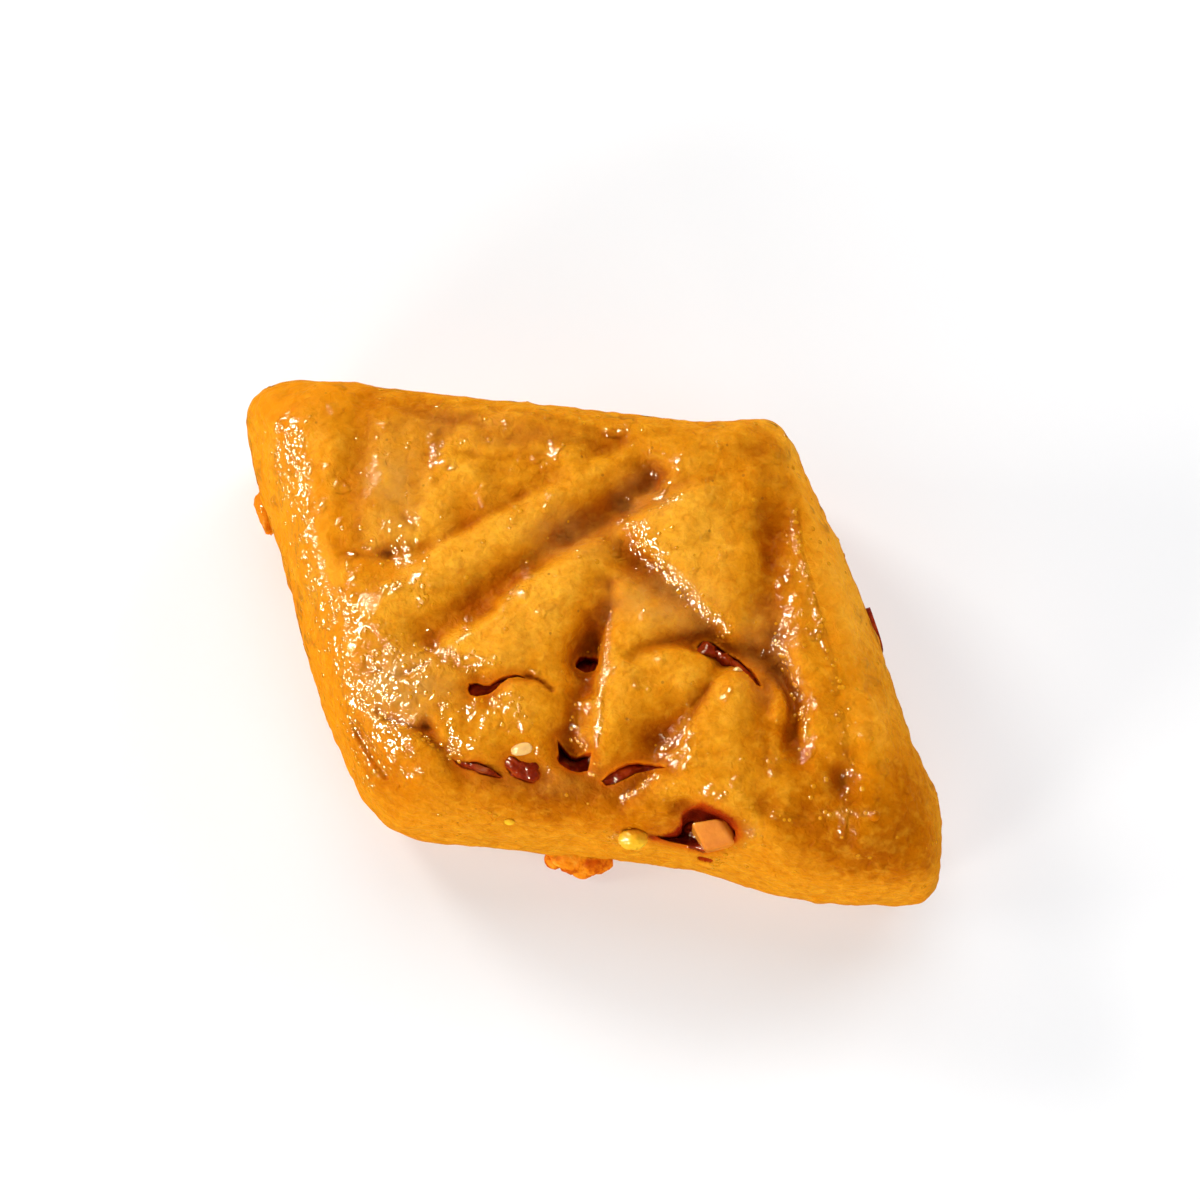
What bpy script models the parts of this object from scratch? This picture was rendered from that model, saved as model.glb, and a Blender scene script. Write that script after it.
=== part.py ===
"""Almond makroud: one diamond-cut piece of a semolina dough log, soaked in honey, round a date and almond core.

Frame: +X runs along the log, +Y to the log's back side, +Z up. The flat underside rests on z = 0.
All the driving sizes below are in millimetres.
"""

import math

import bpy
import numpy as np

MM = 0.001
ORIGIN_SHIFT = (0.3, -0.26)  # moves the plan so that the bounding box is centred on the origin

# The widest outline in plan: the four corners of the diamond cut, and how far each one is rounded
BACK_LEFT = (-29.3, 16.5)
BACK_RIGHT = (14.2, 18.9)
FRONT_RIGHT = (28.5, -18.4)
FRONT_LEFT = (-16.4, -15.1)
ROUND_BACK_LEFT = 0.16
ROUND_BACK_RIGHT = 0.12
ROUND_FRONT_RIGHT = 0.18
ROUND_FRONT_LEFT = 0.19
HALF_WIDTH = 18.4

# Swells of each side: place along the side from 0 to 1, depth outwards
SWELL_REACH = 0.14
SWELL_LEFT = ((0.04, -0.3), (0.2, 0.1), (0.4, -0.2), (0.8, 0.1), (0.96, -0.9))
SWELL_RIGHT = ((0.04, -1.0), (0.2, -0.1), (0.4, 0.6), (0.6, 0.9), (0.8, 1.5), (0.96, -0.5))
SWELL_FRONT = ((0.04, 0.4), (0.2, -0.2), (0.4, -0.8), (0.6, -0.9), (0.8, 0.3), (0.96, -1.3))
SWELL_BACK = ((0.04, 0.4), (0.2, 1.0), (0.6, -0.4), (0.8, -1.3), (0.96, -0.1))

# Height of the dough, and for the left, right, front and back sides: the height of the widest line,
# the depth of the rounded shoulder, and how far the foot is drawn in
TOP = 17.6
WIDEST_AT = (7.0, 7.0, 6.0, 9.0)
SHOULDER = (6.0, 6.0, 8.0, 5.0)
DRAWN_IN = (2.6, 2.6, 2.4, 2.6)
SHOULDER_POWER = 2.3

# How finely the dough is divided: along the log, across it, and down the sides
ALONG = 60
ACROSS = 52
DOWN = 6

# Pressed and folded marks of the top. Each runs from a start through a middle to an end, with a half width
# on its left, a half width on its right, and a height: a ridge is positive, a groove negative.
MARKS = (
    ("rim_left", (-24.3, 10.9), (-22.5, 7.2), (-19.0, -3.1), 2.6, 5, 0.61),
    ("rim_left_low", (-18.3, -3.1), (-17.4, -8.2), (-13.6, -12.1), 3.6, 3, -0.45),
    ("crease_left", (-18.3, 15.6), (-18.5, 9.6), (-18.0, 4.3), 1.2, 1.4, -0.54),
    ("panel_left", (-14.5, 12.1), (-16.7, 8.6), (-17.1, 5.0), 1.7, 2.4, 0.29),
    ("crease_across", (-19.6, 3.5), (-17.6, 2.9), (-13.8, 3.7), 0.78, 1.1, -0.32),
    ("leaf_edge", (-11.0, 12.6), (-12.7, 8.7), (-13.6, 4.4), 3.1, 1, 0.66),
    ("leaf_dome", (-10.6, 12.5), (-6.4, 11.8), (-1.2, 13.1), 1, 1, 0.16),
    ("leaf_low", (-10.5, 6.7), (-8.3, 10.4), (-5.4, 11.6), 1.2, 1.2, -0.27),
    ("leaf_groove", (-13.4, 3.3), (-8.7, 6.8), (-3.8, 10.5), 0.98, 0.65, -0.24),
    ("rib_long", (-15.6, -1.5), (-9.1, 4.4), (1.1, 11.4), 1.6, 1.9, 0.52),
    ("valley_long", (-11.5, -2.6), (-4.0, 4.1), (3.6, 10.5), 1.4, 2.3, -1.00),
    ("valley_deep", (-3.9, 3.2), (0.7, 8.3), (2.6, 9.0), 1.1, 1.3, -0.79),
    ("rib_lower", (-10.1, -2.9), (-6.2, -1.5), (-2.3, 3.7), 2.9, 3.3, 0.84),
    ("valley_upright", (1.0, 1.9), (0.8, 0.0), (-0.4, -3.3), 0.78, 1.9, -1.44),
    ("valley_upright_low", (0.0, -2.4), (-0.2, -6.4), (-0.9, -9.5), 1.6, 1.2, -1.74),
    ("block_edge", (3.6, 5.8), (6.0, 4.0), (10.2, 0.1), 2.3, 0.65, 1.10),
    ("block_foot", (2.1, 5.3), (5.1, 2.3), (11.5, -1.3), 2.4, 2.3, -1.30),
    ("block_top", (1.6, 7.0), (5.2, 8.9), (7.9, 10.4), 0.65, 1.8, 0.34),
    ("block_back_valley", (1.2, 9.2), (3.2, 8.7), (5.7, 10.8), 0.65, 0.86, -0.42),
    ("groove_right", (11.4, 13.6), (13.0, 8.4), (12.9, -1.2), 1.7, 2.1, -1.10),
    ("rim_right", (13.2, 11.7), (18.4, 6.1), (21.3, -7.1), 5, 2.1, 1.15),
    ("top_band", (-8.8, 12.5), (-3.8, 13.4), (1.7, 12.2), 1.3, 0.83, -0.44),
    ("top_wedge", (-1.4, 12.3), (-1.0, 12.5), (0.7, 13.7), 1.7, 0.66, -0.35),
    ("mound_upper", (3.5, 1.2), (4.7, 0.6), (6.5, 0.5), 2.6, 1.2, 0.73),
    ("mound_crease", (3.1, -3.0), (5.2, -1.8), (7.6, -1.4), 1.1, 0.72, -0.66),
    ("mound_edge", (0.2, 0.5), (1.2, -2.8), (1.2, -9.2), 3.2, 0.65, 0.66),
    ("mound_dome", (1.7, -6.8), (6.2, -6.0), (8.0, -3.4), 4, 1.5, 0.51),
    ("mound_groove", (9.4, -2.8), (7.7, -5.9), (5.6, -8.3), 1.1, 2.8, -1.26),
    ("wedge_dome", (11.6, -2.8), (10.6, -7.4), (11.5, -12.6), 1.7, 3.5, 0.45),
    ("wedge_valley", (14.1, -2.8), (14.4, -7.3), (15.8, -8.8), 0.95, 2, -1.12),
    ("wedge_peak", (13.8, -3.0), (14.4, -4.6), (14.4, -6.1), 0.65, 0.87, 0.91),
    ("flap_low", (5.0, -13.5), (5.5, -13.0), (7.7, -12.0), 1, 1.2, 0.66),
    ("flap_high", (6.3, -11.5), (6.6, -10.4), (7.8, -10.2), 0.86, 2, 0.88),
    ("flap_curl", (7.7, -13.2), (8.2, -13.1), (8.8, -13.5), 0.65, 1.8, -1.40),
    ("knob", (-3.1, -5.3), (-1.8, -6.3), (-2.1, -6.1), 1.2, 1.2, -0.36),
    ("lobe", (0.2, -6.9), (0.1, -7.9), (0.2, -8.8), 0.73, 0.96, 0.94),
    ("glossy_lump", (-7.2, -8.9), (-4.8, -8.0), (-3.4, -10.0), 1.5, 3.9, 0.31),
    ("panel_low", (-14.7, -7.3), (-13.2, -7.2), (-10.8, -7.2), 1.6, 3.6, -0.22),
    ("seam_front", (-2.7, -12.8), (-0.3, -13.3), (6.0, -10.7), 2.3, 3.5, -1.78),
    ("fold_left", (-16.2, -10.8), (-15.0, -12.5), (-13.7, -13.2), 0.76, 1.5, -1.14),
    ("dimple_right", (19.8, -8.8), (19.4, -11.6), (18.9, -12.7), 2.2, 0.96, -0.77),
    ("dimple_branch", (19.3, -10.9), (18.3, -11.2), (17.2, -12.6), 1.2, 1.7, -1.03),
    ("groove_right_low", (13.9, -3.0), (15.3, -4.7), (15.6, -7.4), 0.96, 0.76, -1.47),
    ("pocket", (-23.5, 9.6), (-23.9, 10.8), (-24.6, 12.6), 0.73, 1.2, -0.39),
    ("back_crease_2", (-14.3, 15.4), (-13.0, 14.7), (-10.8, 14.5), 0.65, 3.4, -0.53),
    ("front_dip", (4.8, -15.3), (9.4, -15.0), (12.3, -14.7), 0.83, 0.65, -1.16),
    ("dent_1", (23.8, -16.5), (24.4, -12.5), (24.7, -9.6), 3.6, 3.4, -1.39),
    ("dent_2", (18.0, -15.0), (21.8, -15.8), (25.0, -13.7), 1.4, 3, -0.64),
    ("rise_1", (22.5, -8.9), (21.7, -6.0), (20.6, -4.6), 2.1, 1.3, 0.38),
    ("dent_3", (19.8, -5.5), (21.6, -2.8), (20.9, 0.0), 1.7, 3, -0.76),
    ("dent_4", (24.1, -11.8), (23.8, -8.7), (23.9, -6.6), 1.8, 1.8, -0.34),
    ("rise_2", (13.8, 5.3), (16.2, 3.8), (18.5, 4.1), 2.4, 0.82, 0.15),
    ("dent_5", (14.0, -13.3), (18.4, -15.2), (20.2, -14.8), 1.4, 0.79, -0.47),
    ("rise_3", (14.6, 3.1), (12.6, 4.4), (11.4, 6.0), 1.2, 0.65, 0.23),
    ("dent_6", (13.4, -4.5), (17.1, -4.3), (20.4, -2.6), 1.3, 1.5, -0.35),
    ("rise_4", (14.8, -1.0), (16.7, 0.7), (18.9, 1.4), 1.3, 1.4, 0.24),
    ("rise_5", (8.5, 6.5), (7.6, 7.6), (5.3, 9.8), 2.8, 2, 0.54),
    ("rise_6", (7.3, -4.6), (8.2, -3.5), (8.6, -2.7), 1.3, 1, 0.66),
    ("rise_7", (21.3, 0.8), (18.9, 2.5), (17.5, 6.0), 1.5, 3.9, 0.48),
    ("dent_7", (19.4, -13.4), (21.1, -11.8), (23.2, -9.0), 1, 0.92, -0.26),
    ("dent_8", (12.6, 5.2), (12.6, 6.4), (12.6, 7.4), 0.89, 0.65, -0.26),
    ("rise_9", (15.0, -9.5), (14.4, -8.7), (14.4, -7.8), 1.1, 0.65, 0.46),
    ("dent_10", (-8.5, -12.7), (-8.8, -9.9), (-8.3, -7.6), 1.1, 1.1, -0.34),
    ("dent_11", (-7.0, -7.5), (-7.9, -5.8), (-10.7, -4.5), 0.65, 1.1, -0.51),
    ("dent_12", (0.6, 0.3), (1.6, -0.0), (2.1, 0.5), 1.1, 1.4, -0.60),
    ("rise_10", (-20.7, 10.8), (-19.8, 11.9), (-18.7, 13.6), 0.99, 1.8, 0.25),
    ("dent_13", (11.6, -10.8), (11.1, -8.3), (9.6, -6.8), 1.4, 2.2, -0.32),
    ("dent_14", (13.2, -13.2), (13.0, -11.6), (14.5, -10.3), 0.83, 1.6, -0.23),
    ("rise_13", (-9.5, 8.7), (-9.8, 9.5), (-10.8, 10.3), 1.3, 1, 0.34),
    ("dent_15", (14.8, 9.1), (14.5, 10.1), (13.9, 11.6), 1.3, 0.85, -0.55),
    ("dent_16", (2.8, -12.7), (0.7, -11.6), (-1.0, -9.7), 0.99, 1, -0.67),
    ("dent_17", (-3.7, 6.4), (-5.4, 7.2), (-6.4, 8.4), 0.84, 0.8, -0.16),
    ("dent_18", (-0.2, -9.2), (2.0, -7.3), (3.8, -5.2), 1.7, 1.8, -0.25),
    ("dent_19", (-8.0, -0.9), (-6.2, -0.3), (-5.0, -0.9), 0.74, 0.8, -0.19),
    ("rise_15", (-7.5, -4.9), (-6.0, -3.7), (-5.5, -2.5), 1.1, 1.1, 0.14),
    ("dent_22", (8.3, 2.2), (8.1, 3.7), (7.7, 5.3), 1.5, 0.97, -0.22),
    ("dent_26", (13.8, 0.1), (15.3, 0.1), (16.8, 0.3), 0.86, 0.78, -0.31),
)
UNEVEN = ((7.0, 0.16, 11), (3.1, 0.08, 12))  # size, height and seed of the dough's unevenness

# Tears that go down to the core: the line of each, and its half width at each point
TEARS = (
    ("left_tear", ((-8.6, -6.9), (-7.8, -6.7), (-7.0, -6.4), (-6.2, -6.0), (-5.3, -5.6), (-4.4, -5.2)),
     (0.25, 0.5, 0.28, 0.3, 0.3, 0.12)),
    ("round_hole", ((-0.9, -3.4), (-0.6, -3.3), (0.1, -3.3), (0.5, -3.2)), (0.3, 0.65, 0.65, 0.3)),
    ("front_tear_left", ((-9.5, -11.6), (-8.6, -11.9), (-7.6, -11.8), (-6.5, -12.2), (-5.4, -12.4)),
     (0.14, 0.3, 0.35, 0.25, 0.14)),
    ("front_notch", ((-5.3, -11.4), (-4.6, -11.8), (-3.7, -11.8), (-3.0, -12.4)), (0.35, 0.7, 0.65, 0.25)),
    ("front_hole", ((-1.4, -10.2), (-0.9, -11.0), (0.0, -11.1), (0.7, -11.2)), (0.35, 0.9, 0.9, 0.5)),
    ("front_tear_mid", ((1.9, -12.1), (3.1, -11.4), (4.5, -10.7), (5.9, -11.1)), (0.14, 0.32, 0.32, 0.12)),
    ("right_tear", ((7.8, -1.4), (8.5, -1.0), (9.6, -1.4), (10.7, -2.1), (12.0, -3.1), (13.3, -4.1)),
     (0.3, 0.5, 0.65, 0.4, 0.32, 0.14)),
)
TEAR_FLOOR = 9.5
TEAR_CEILING = 21.0

# The open pocket that an almond piece looks out of
POCKET = ((5.7, -15.0), (6.5, -14.4), (7.7, -13.9), (8.2, -13.1), (9.6, -12.9), (10.8, -13.3), (12.0, -13.8),
          (12.7, -14.7), (12.3, -15.3), (10.9, -15.6), (9.6, -15.8), (8.3, -15.5), (7.0, -15.5))

# The core runs through the log: stations along it with centre, half width, mid height and half height
CORE = (
    (-24.9, 7.2, 1.3, 8.3, 0.8),
    (-23.0, 6.2, 2.2, 8.4, 1.1),
    (-18.0, 1.2, 3.8, 8.8, 1.9),
    (-11.0, -4.6, 5.9, 9.3, 2.7),
    (-4.0, -6.8, 6.5, 9.6, 3.1),
    (4.0, -6.9, 6.5, 9.6, 3.1),
    (10.5, -6.3, 6.3, 9.5, 3.0),
    (16.0, -2.6, 4.6, 9.0, 2.4),
    (19.4, 1.6, 2.4, 8.4, 1.6),
    (21.3, 3.3, 1.7, 8.1, 1.1),
)
CORE_SLANT = -0.39
CORE_GAP = 0.3
CORE_SIDES = 18
CORE_STEPS = 34

# The almond piece: plan of its top, its height range, and the chamfer on its right
ALMOND = ((8.7, -14.3), (9.3, -13.8), (10.9, -13.7), (12.1, -14.9), (11.0, -15.2), (9.9, -15.4), (9.0, -15.0))
ALMOND_TOP = 15.0
ALMOND_FOOT = 12.6
ALMOND_LEAN = 0.9

# Small bits of dough fused to the body: middle, half sizes and turn about Z in degrees
BITS = (
    ("flap_left", (-25.6, 7.4, 5.5), (0.95, 2.1, 1.5), 22.0),
    ("paste_foot", (0.4, -14.6, 1.5), (2.5, 1.8, 1.5), -8.0),
    ("yellow_bit", (4.5, -15.3, 11.2), (1.15, 0.6, 0.7), 5.0),
    ("pale_bit", (-4.2, -10.6, 16.9), (0.75, 0.5, 0.6), 10.0),
    ("crumb_right", (22.1, -12.9, 15.85), (0.45, 0.4, 0.35), 0.0),
)


def lattice_noise(points, size, seed):
    """Smooth noise from -1 to 1 at each point, with features of the given size."""
    table = np.random.default_rng(seed).uniform(-1, 1, (16, 16, 16))
    q = points / size + 100.0
    base = np.floor(q).astype(int)
    f = q - base
    f = f * f * (3 - 2 * f)
    total = np.zeros(len(points))
    for corner in range(8):
        step = np.array([corner & 1, corner >> 1 & 1, corner >> 2 & 1])
        weight = np.prod(np.where(step, f, 1 - f), axis=1)
        i = (base + step) % 16
        total += weight * table[i[:, 0], i[:, 1], i[:, 2]]
    return total


def curve_through(start, middle, end, count=9):
    """Points of the parabola from start through middle to end."""
    start, middle, end = np.array(start), np.array(middle), np.array(end)
    pull = 2 * middle - (start + end) / 2
    t = np.linspace(0, 1, count)[:, None]
    return (1 - t) ** 2 * start + 2 * t * (1 - t) * pull + t * t * end


def mark_height(x, y, line, left, right):
    """1 on the line, falling off over the left and right half widths."""
    nearest = np.full(x.shape, 1e9)
    side = np.zeros(x.shape)
    for a, b in zip(line[:-1], line[1:]):
        run = b - a
        length = math.hypot(*run)
        t = np.clip(((x - a[0]) * run[0] + (y - a[1]) * run[1]) / length**2, 0, 1)
        dx = x - a[0] - t * run[0]
        dy = y - a[1] - t * run[1]
        away = dx * dx + dy * dy
        closer = away < nearest
        nearest = np.where(closer, away, nearest)
        side = np.where(closer, (run[0] * dy - run[1] * dx) / length, side)
    away = np.sqrt(nearest)
    width = right + (left - right) * (0.5 + 0.5 * side / np.maximum(away, 1e-6))
    return np.exp(-((away / width) ** 2))


def relief(x, y):
    """Height that the marks and the unevenness add to the top."""
    total = np.zeros(x.shape)
    for _name, start, middle, end, left, right, height in MARKS:
        total += height * mark_height(x, y, curve_through(start, middle, end), left, right)
    flat = np.stack([x.ravel(), y.ravel(), np.zeros(x.size)], axis=1)
    for size, height, seed in UNEVEN:
        total += height * lattice_noise(flat, size, seed).reshape(x.shape)
    return total


def rounded(s, t):
    """How far out a point of the square is, and where its side of the square lands once corners are rounded."""
    k = np.maximum(np.maximum(np.abs(s), np.abs(t)), 1e-9)
    a = s / k
    b = t / k
    back = np.where(a < 0, ROUND_BACK_LEFT, ROUND_BACK_RIGHT)
    front = np.where(a < 0, ROUND_FRONT_LEFT, ROUND_FRONT_RIGHT)
    r = np.where(b > 0, back, front)
    out_a = np.abs(a) - (1 - r)
    out_b = np.abs(b) - (1 - r)
    corner = (out_a > 0) & (out_b > 0)
    length = np.maximum(np.hypot(out_a, out_b), 1e-9)
    to_a = np.where(corner, 1 - r + out_a / length * r, np.abs(a))
    to_b = np.where(corner, 1 - r + out_b / length * r, np.abs(b))
    return k, np.sign(a) * to_a, np.sign(b) * to_b


def swell(table, t):
    """How far a side stands out at t along it."""
    return sum(depth * np.exp(-(((t - at) / SWELL_REACH) ** 2)) for at, depth in table)


def plan(s, t):
    """Where a point of the square lands in plan."""
    corners = [np.array(c) for c in (BACK_LEFT, BACK_RIGHT, FRONT_RIGHT, FRONT_LEFT)]
    back_left, back_right, front_right, front_left = corners
    u = s[..., None]
    v = t[..., None]
    p = (1 - u) * (1 + v) * back_left + (1 + u) * (1 + v) * back_right
    p = (p + (1 + u) * (1 - v) * front_right + (1 - u) * (1 - v) * front_left) / 4
    sides = (
        (back_left, front_left, -1, -s, (1 - t) / 2, SWELL_LEFT),
        (back_right, front_right, 1, s, (1 - t) / 2, SWELL_RIGHT),
        (front_left, front_right, -1, -t, (1 + s) / 2, SWELL_FRONT),
        (back_left, back_right, 1, t, (1 + s) / 2, SWELL_BACK),
    )
    for start, end, turn, out, along, table in sides:
        run = (end - start) / np.hypot(*(end - start))
        outward = turn * np.array([-run[1], run[0]])
        p = p + (np.maximum(out, 0) ** 6 * swell(table, along))[..., None] * outward
    return p


def by_side(values, s, t):
    """The left, right, front and back values, blended by the side that a point faces."""
    left, right, front, back = values
    a = np.abs(s) ** 8
    b = np.abs(t) ** 8
    share = a / (a + b + 1e-12)
    return share * np.where(s < 0, left, right) + (1 - share) * np.where(t < 0, front, back)


def spread(count, rim=3.5):
    """Places from -1 to 1, closer together towards both ends, where the surface turns down."""
    flat = HALF_WIDTH - rim
    q = np.linspace(-1, 1, count + 1)
    arc = np.abs(q) * (flat + rim * math.pi / 2)
    out = np.where(arc < flat, arc, flat + rim * np.sin((arc - flat) / rim))
    return np.sign(q) * out / HALF_WIDTH


def dough_mesh():
    """Points and faces of the closed dough body: a gridded top, side rows and one flat underside."""
    s, t = np.meshgrid(spread(ALONG), spread(ACROSS), indexing="ij")
    k, edge_s, edge_t = rounded(s, t)
    xy = plan(k * edge_s, k * edge_t)
    widest = by_side(WIDEST_AT, edge_s, edge_t)
    inward = np.clip((1 - k) * HALF_WIDTH / by_side(SHOULDER, edge_s, edge_t), 0, 1)
    rise = (1 - (1 - inward) ** SHOULDER_POWER) ** (1 / SHOULDER_POWER)
    z = widest + (TOP - widest) * rise + relief(xy[..., 0], xy[..., 1]) * rise**2
    points = np.concatenate([xy, z[..., None]], axis=-1).reshape(-1, 3)
    across = ACROSS + 1
    faces = []
    for i in range(ALONG):
        for j in range(ACROSS):
            a = i * across + j
            faces.append((a, a + across, a + across + 1, a + 1))
    ring = [(i, 0) for i in range(ALONG)] + [(ALONG, j) for j in range(ACROSS)]
    ring += [(i, ACROSS) for i in range(ALONG, 0, -1)] + [(0, j) for j in range(ACROSS, 0, -1)]
    ring = np.array(ring)
    rim_s = edge_s[ring[:, 0], ring[:, 1]]
    rim_t = edge_t[ring[:, 0], ring[:, 1]]
    outline = plan(rim_s, rim_t)
    middle = plan(np.zeros(1), np.zeros(1))[0]
    high = by_side(WIDEST_AT, rim_s, rim_t)
    drawn = by_side(DRAWN_IN, rim_s, rim_t)
    rows = [ring[:, 0] * across + ring[:, 1]]
    for row in range(1, DOWN + 1):
        angle = math.pi / 2 * (1 - row / DOWN)
        inset = 1 - drawn * (1 - math.sin(angle)) / HALF_WIDTH
        place = middle + (outline - middle) * inset[:, None]
        level = high * (1 - math.cos(angle))
        if row == DOWN:
            level = np.zeros(len(ring))
        rows.append(np.arange(len(ring)) + len(points))
        points = np.concatenate([points, np.concatenate([place, level[:, None]], axis=1)])
    for upper, lower in zip(rows[:-1], rows[1:]):
        for n in range(len(ring)):
            m = (n + 1) % len(ring)
            faces.append((int(upper[n]), int(lower[n]), int(lower[m]), int(upper[m])))
    faces.append(tuple(int(v) for v in rows[-1][::-1]))
    return points, faces


def object_from(name, points, faces, helper=False):
    """A new mesh object from points in millimetres."""
    shift = np.array([ORIGIN_SHIFT[0], ORIGIN_SHIFT[1], 0.0])
    mesh = bpy.data.meshes.new(name)
    mesh.from_pydata([tuple(float(c) for c in p) for p in (points + shift) * MM], [], faces)
    mesh.update()
    obj = bpy.data.objects.new(name, mesh)
    bpy.context.scene.collection.objects.link(obj)
    if helper:
        obj.hide_render = True
        obj.display_type = "WIRE"
    return obj


def prism(name, outline, low, high, taper=1.0):
    """A closed upright prism over an outline, its foot shrunk by taper about the outline's middle."""
    outline = np.array(outline, dtype=float)
    area = np.sum(outline[:, 0] * np.roll(outline[:, 1], -1) - np.roll(outline[:, 0], -1) * outline[:, 1])
    if area < 0:
        outline = outline[::-1]
    count = len(outline)
    foot = outline.mean(axis=0) + (outline - outline.mean(axis=0)) * taper
    points = np.concatenate([
        np.column_stack([foot, np.full(count, low)]),
        np.column_stack([outline, np.full(count, high)]),
    ])
    faces = [tuple(range(count))[::-1], tuple(range(count, 2 * count))]
    faces += [(n, (n + 1) % count, count + (n + 1) % count, count + n) for n in range(count)]
    return object_from(name, points, faces, helper=True)


def tear_outline(line, widths):
    """The outline in plan of a tear that follows a line."""
    line = np.array(line)
    run = np.gradient(line, axis=0)
    run /= np.hypot(run[:, 0], run[:, 1])[:, None]
    beside = np.column_stack([-run[:, 1], run[:, 0]]) * np.array(widths)[:, None]
    start = line[0] - run[0] * widths[0]
    end = line[-1] + run[-1] * widths[-1]
    return np.concatenate([[start], line - beside, [end], (line + beside)[::-1]])


def core_mesh(grow=0.0, longer=0.0):
    """The core as a lumpy closed bar along the log, grown by a gap where it is used as a cutter."""
    stations = np.array(CORE)
    inside = np.linspace(stations[0, 0], stations[-1, 0], CORE_STEPS)
    x = inside.copy()
    if longer:
        x = np.concatenate([[x[0] - longer], x, [x[-1] + longer]])
        inside = np.concatenate([inside[:1], inside, inside[-1:]])
    y, half, mid, tall = (np.interp(inside, stations[:, 0], stations[:, n]) for n in range(1, 5))
    y += np.where(x < inside, (x - inside) * -0.36, (x - inside) * 0.9)
    angle = np.arange(CORE_SIDES) * 2 * math.pi / CORE_SIDES
    points = []
    for n in range(len(x)):
        lumpy = 1 + 0.07 * np.sin(3 * angle + 1.2 * inside[n]) * np.cos(0.8 * inside[n])
        ring_y = y[n] + (half[n] * lumpy + grow) * np.sign(np.cos(angle)) * np.abs(np.cos(angle)) ** 0.8
        ring_z = mid[n] + (tall[n] * lumpy + grow) * np.sign(np.sin(angle)) * np.abs(np.sin(angle)) ** 0.8
        points.append(np.column_stack([x[n] + CORE_SLANT * (ring_y - y[n]), ring_y, ring_z]))
    points = np.concatenate(points)
    faces = [tuple(range(CORE_SIDES))[::-1]]
    faces.append(tuple(range(len(points) - CORE_SIDES, len(points))))
    for n in range(len(x) - 1):
        for side in range(CORE_SIDES):
            a = n * CORE_SIDES + side
            b = n * CORE_SIDES + (side + 1) % CORE_SIDES
            faces.append((a, b, b + CORE_SIDES, a + CORE_SIDES))
    return points, faces


def lump(name, middle, sizes, turn, seed):
    """A small uneven ball of dough."""
    rings = 6
    count = 12
    points = [(0.0, 0.0, -1.0)]
    for ring in range(1, rings):
        polar = math.pi * ring / rings
        for n in range(count):
            around = 2 * math.pi * n / count
            points.append((math.sin(polar) * math.cos(around), math.sin(polar) * math.sin(around), -math.cos(polar)))
    points.append((0.0, 0.0, 1.0))
    faces = [(0, 1 + (n + 1) % count, 1 + n) for n in range(count)]
    for ring in range(rings - 2):
        for n in range(count):
            a = 1 + ring * count + n
            b = 1 + ring * count + (n + 1) % count
            faces.append((a, b, b + count, a + count))
    last = len(points) - 1
    faces += [(last, last - count + n, last - count + (n + 1) % count) for n in range(count)]
    points = np.array(points)
    points *= 1 + 0.12 * lattice_noise(points * 3, 1.7, seed)[:, None]
    points *= np.array(sizes)
    c = math.cos(math.radians(turn))
    s = math.sin(math.radians(turn))
    points = points @ np.array([[c, s, 0], [-s, c, 0], [0, 0, 1]])
    points += np.array(middle)
    points[:, 2] = np.maximum(points[:, 2], 0.02)
    return object_from(name, points, faces, helper=True)


def combine(target, other, operation):
    """Applies one Boolean to target and removes the other object."""
    step = target.modifiers.new("step", "BOOLEAN")
    step.operation = operation
    step.solver = "MANIFOLD"
    step.object = other
    bpy.context.view_layer.update()
    evaluated = target.evaluated_get(bpy.context.evaluated_depsgraph_get())
    mesh = bpy.data.meshes.new_from_object(evaluated)
    target.modifiers.clear()
    target.data = mesh
    mesh.name = target.name
    bpy.data.objects.remove(other)


def material(name, colour, roughness):
    """A Principled material."""
    made = bpy.data.materials.new(name)
    made.use_nodes = True
    shader = made.node_tree.nodes["Principled BSDF"]
    shader.inputs["Base Color"].default_value = (*colour, 1.0)
    shader.inputs["Roughness"].default_value = roughness
    return made


def dress(obj, name, colour, roughness):
    """Gives a finished node its own material."""
    obj.data.materials.clear()
    obj.data.materials.append(material(name, colour, roughness))
    obj.hide_render = False
    obj.display_type = "TEXTURED"


for old in list(bpy.data.objects):
    bpy.data.objects.remove(old)

# Dough: the pressed and folded diamond, with bits fused to it, cut by the core's tunnel, the tears and the pocket
dough = object_from("dough", *dough_mesh())
for number, (bit, middle, sizes, turn) in enumerate(BITS):
    combine(dough, lump(bit, middle, sizes, turn, 30 + number), "UNION")
tunnel = object_from("tunnel", *core_mesh(grow=CORE_GAP, longer=1.5), helper=True)
combine(dough, tunnel, "DIFFERENCE")
for tear, line, widths in TEARS:
    combine(dough, prism(tear, tear_outline(line, widths), TEAR_FLOOR, TEAR_CEILING, 0.8), "DIFFERENCE")
combine(dough, prism("pocket", POCKET, TEAR_FLOOR, TEAR_CEILING, 0.92), "DIFFERENCE")
dress(dough, "glazed_dough", (0.72, 0.33, 0.05), 0.35)

# Core: the date and almond paste that shows in the tears and at both cut ends
filling = object_from("filling", *core_mesh())
dress(filling, "date_paste", (0.14, 0.03, 0.015), 0.3)

# Almond: one chopped piece that stands in the pocket
almond = prism("almond_piece", ALMOND, ALMOND_FOOT, ALMOND_TOP, 0.95)
for vertex in almond.data.vertices:
    if vertex.co.z > (ALMOND_FOOT + 0.1) * MM:
        vertex.co.z += ALMOND_LEAN * (vertex.co.y - (ALMOND[0][1] + ORIGIN_SHIFT[1]) * MM)
dress(almond, "soaked_almond", (0.75, 0.25, 0.07), 0.3)
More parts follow.
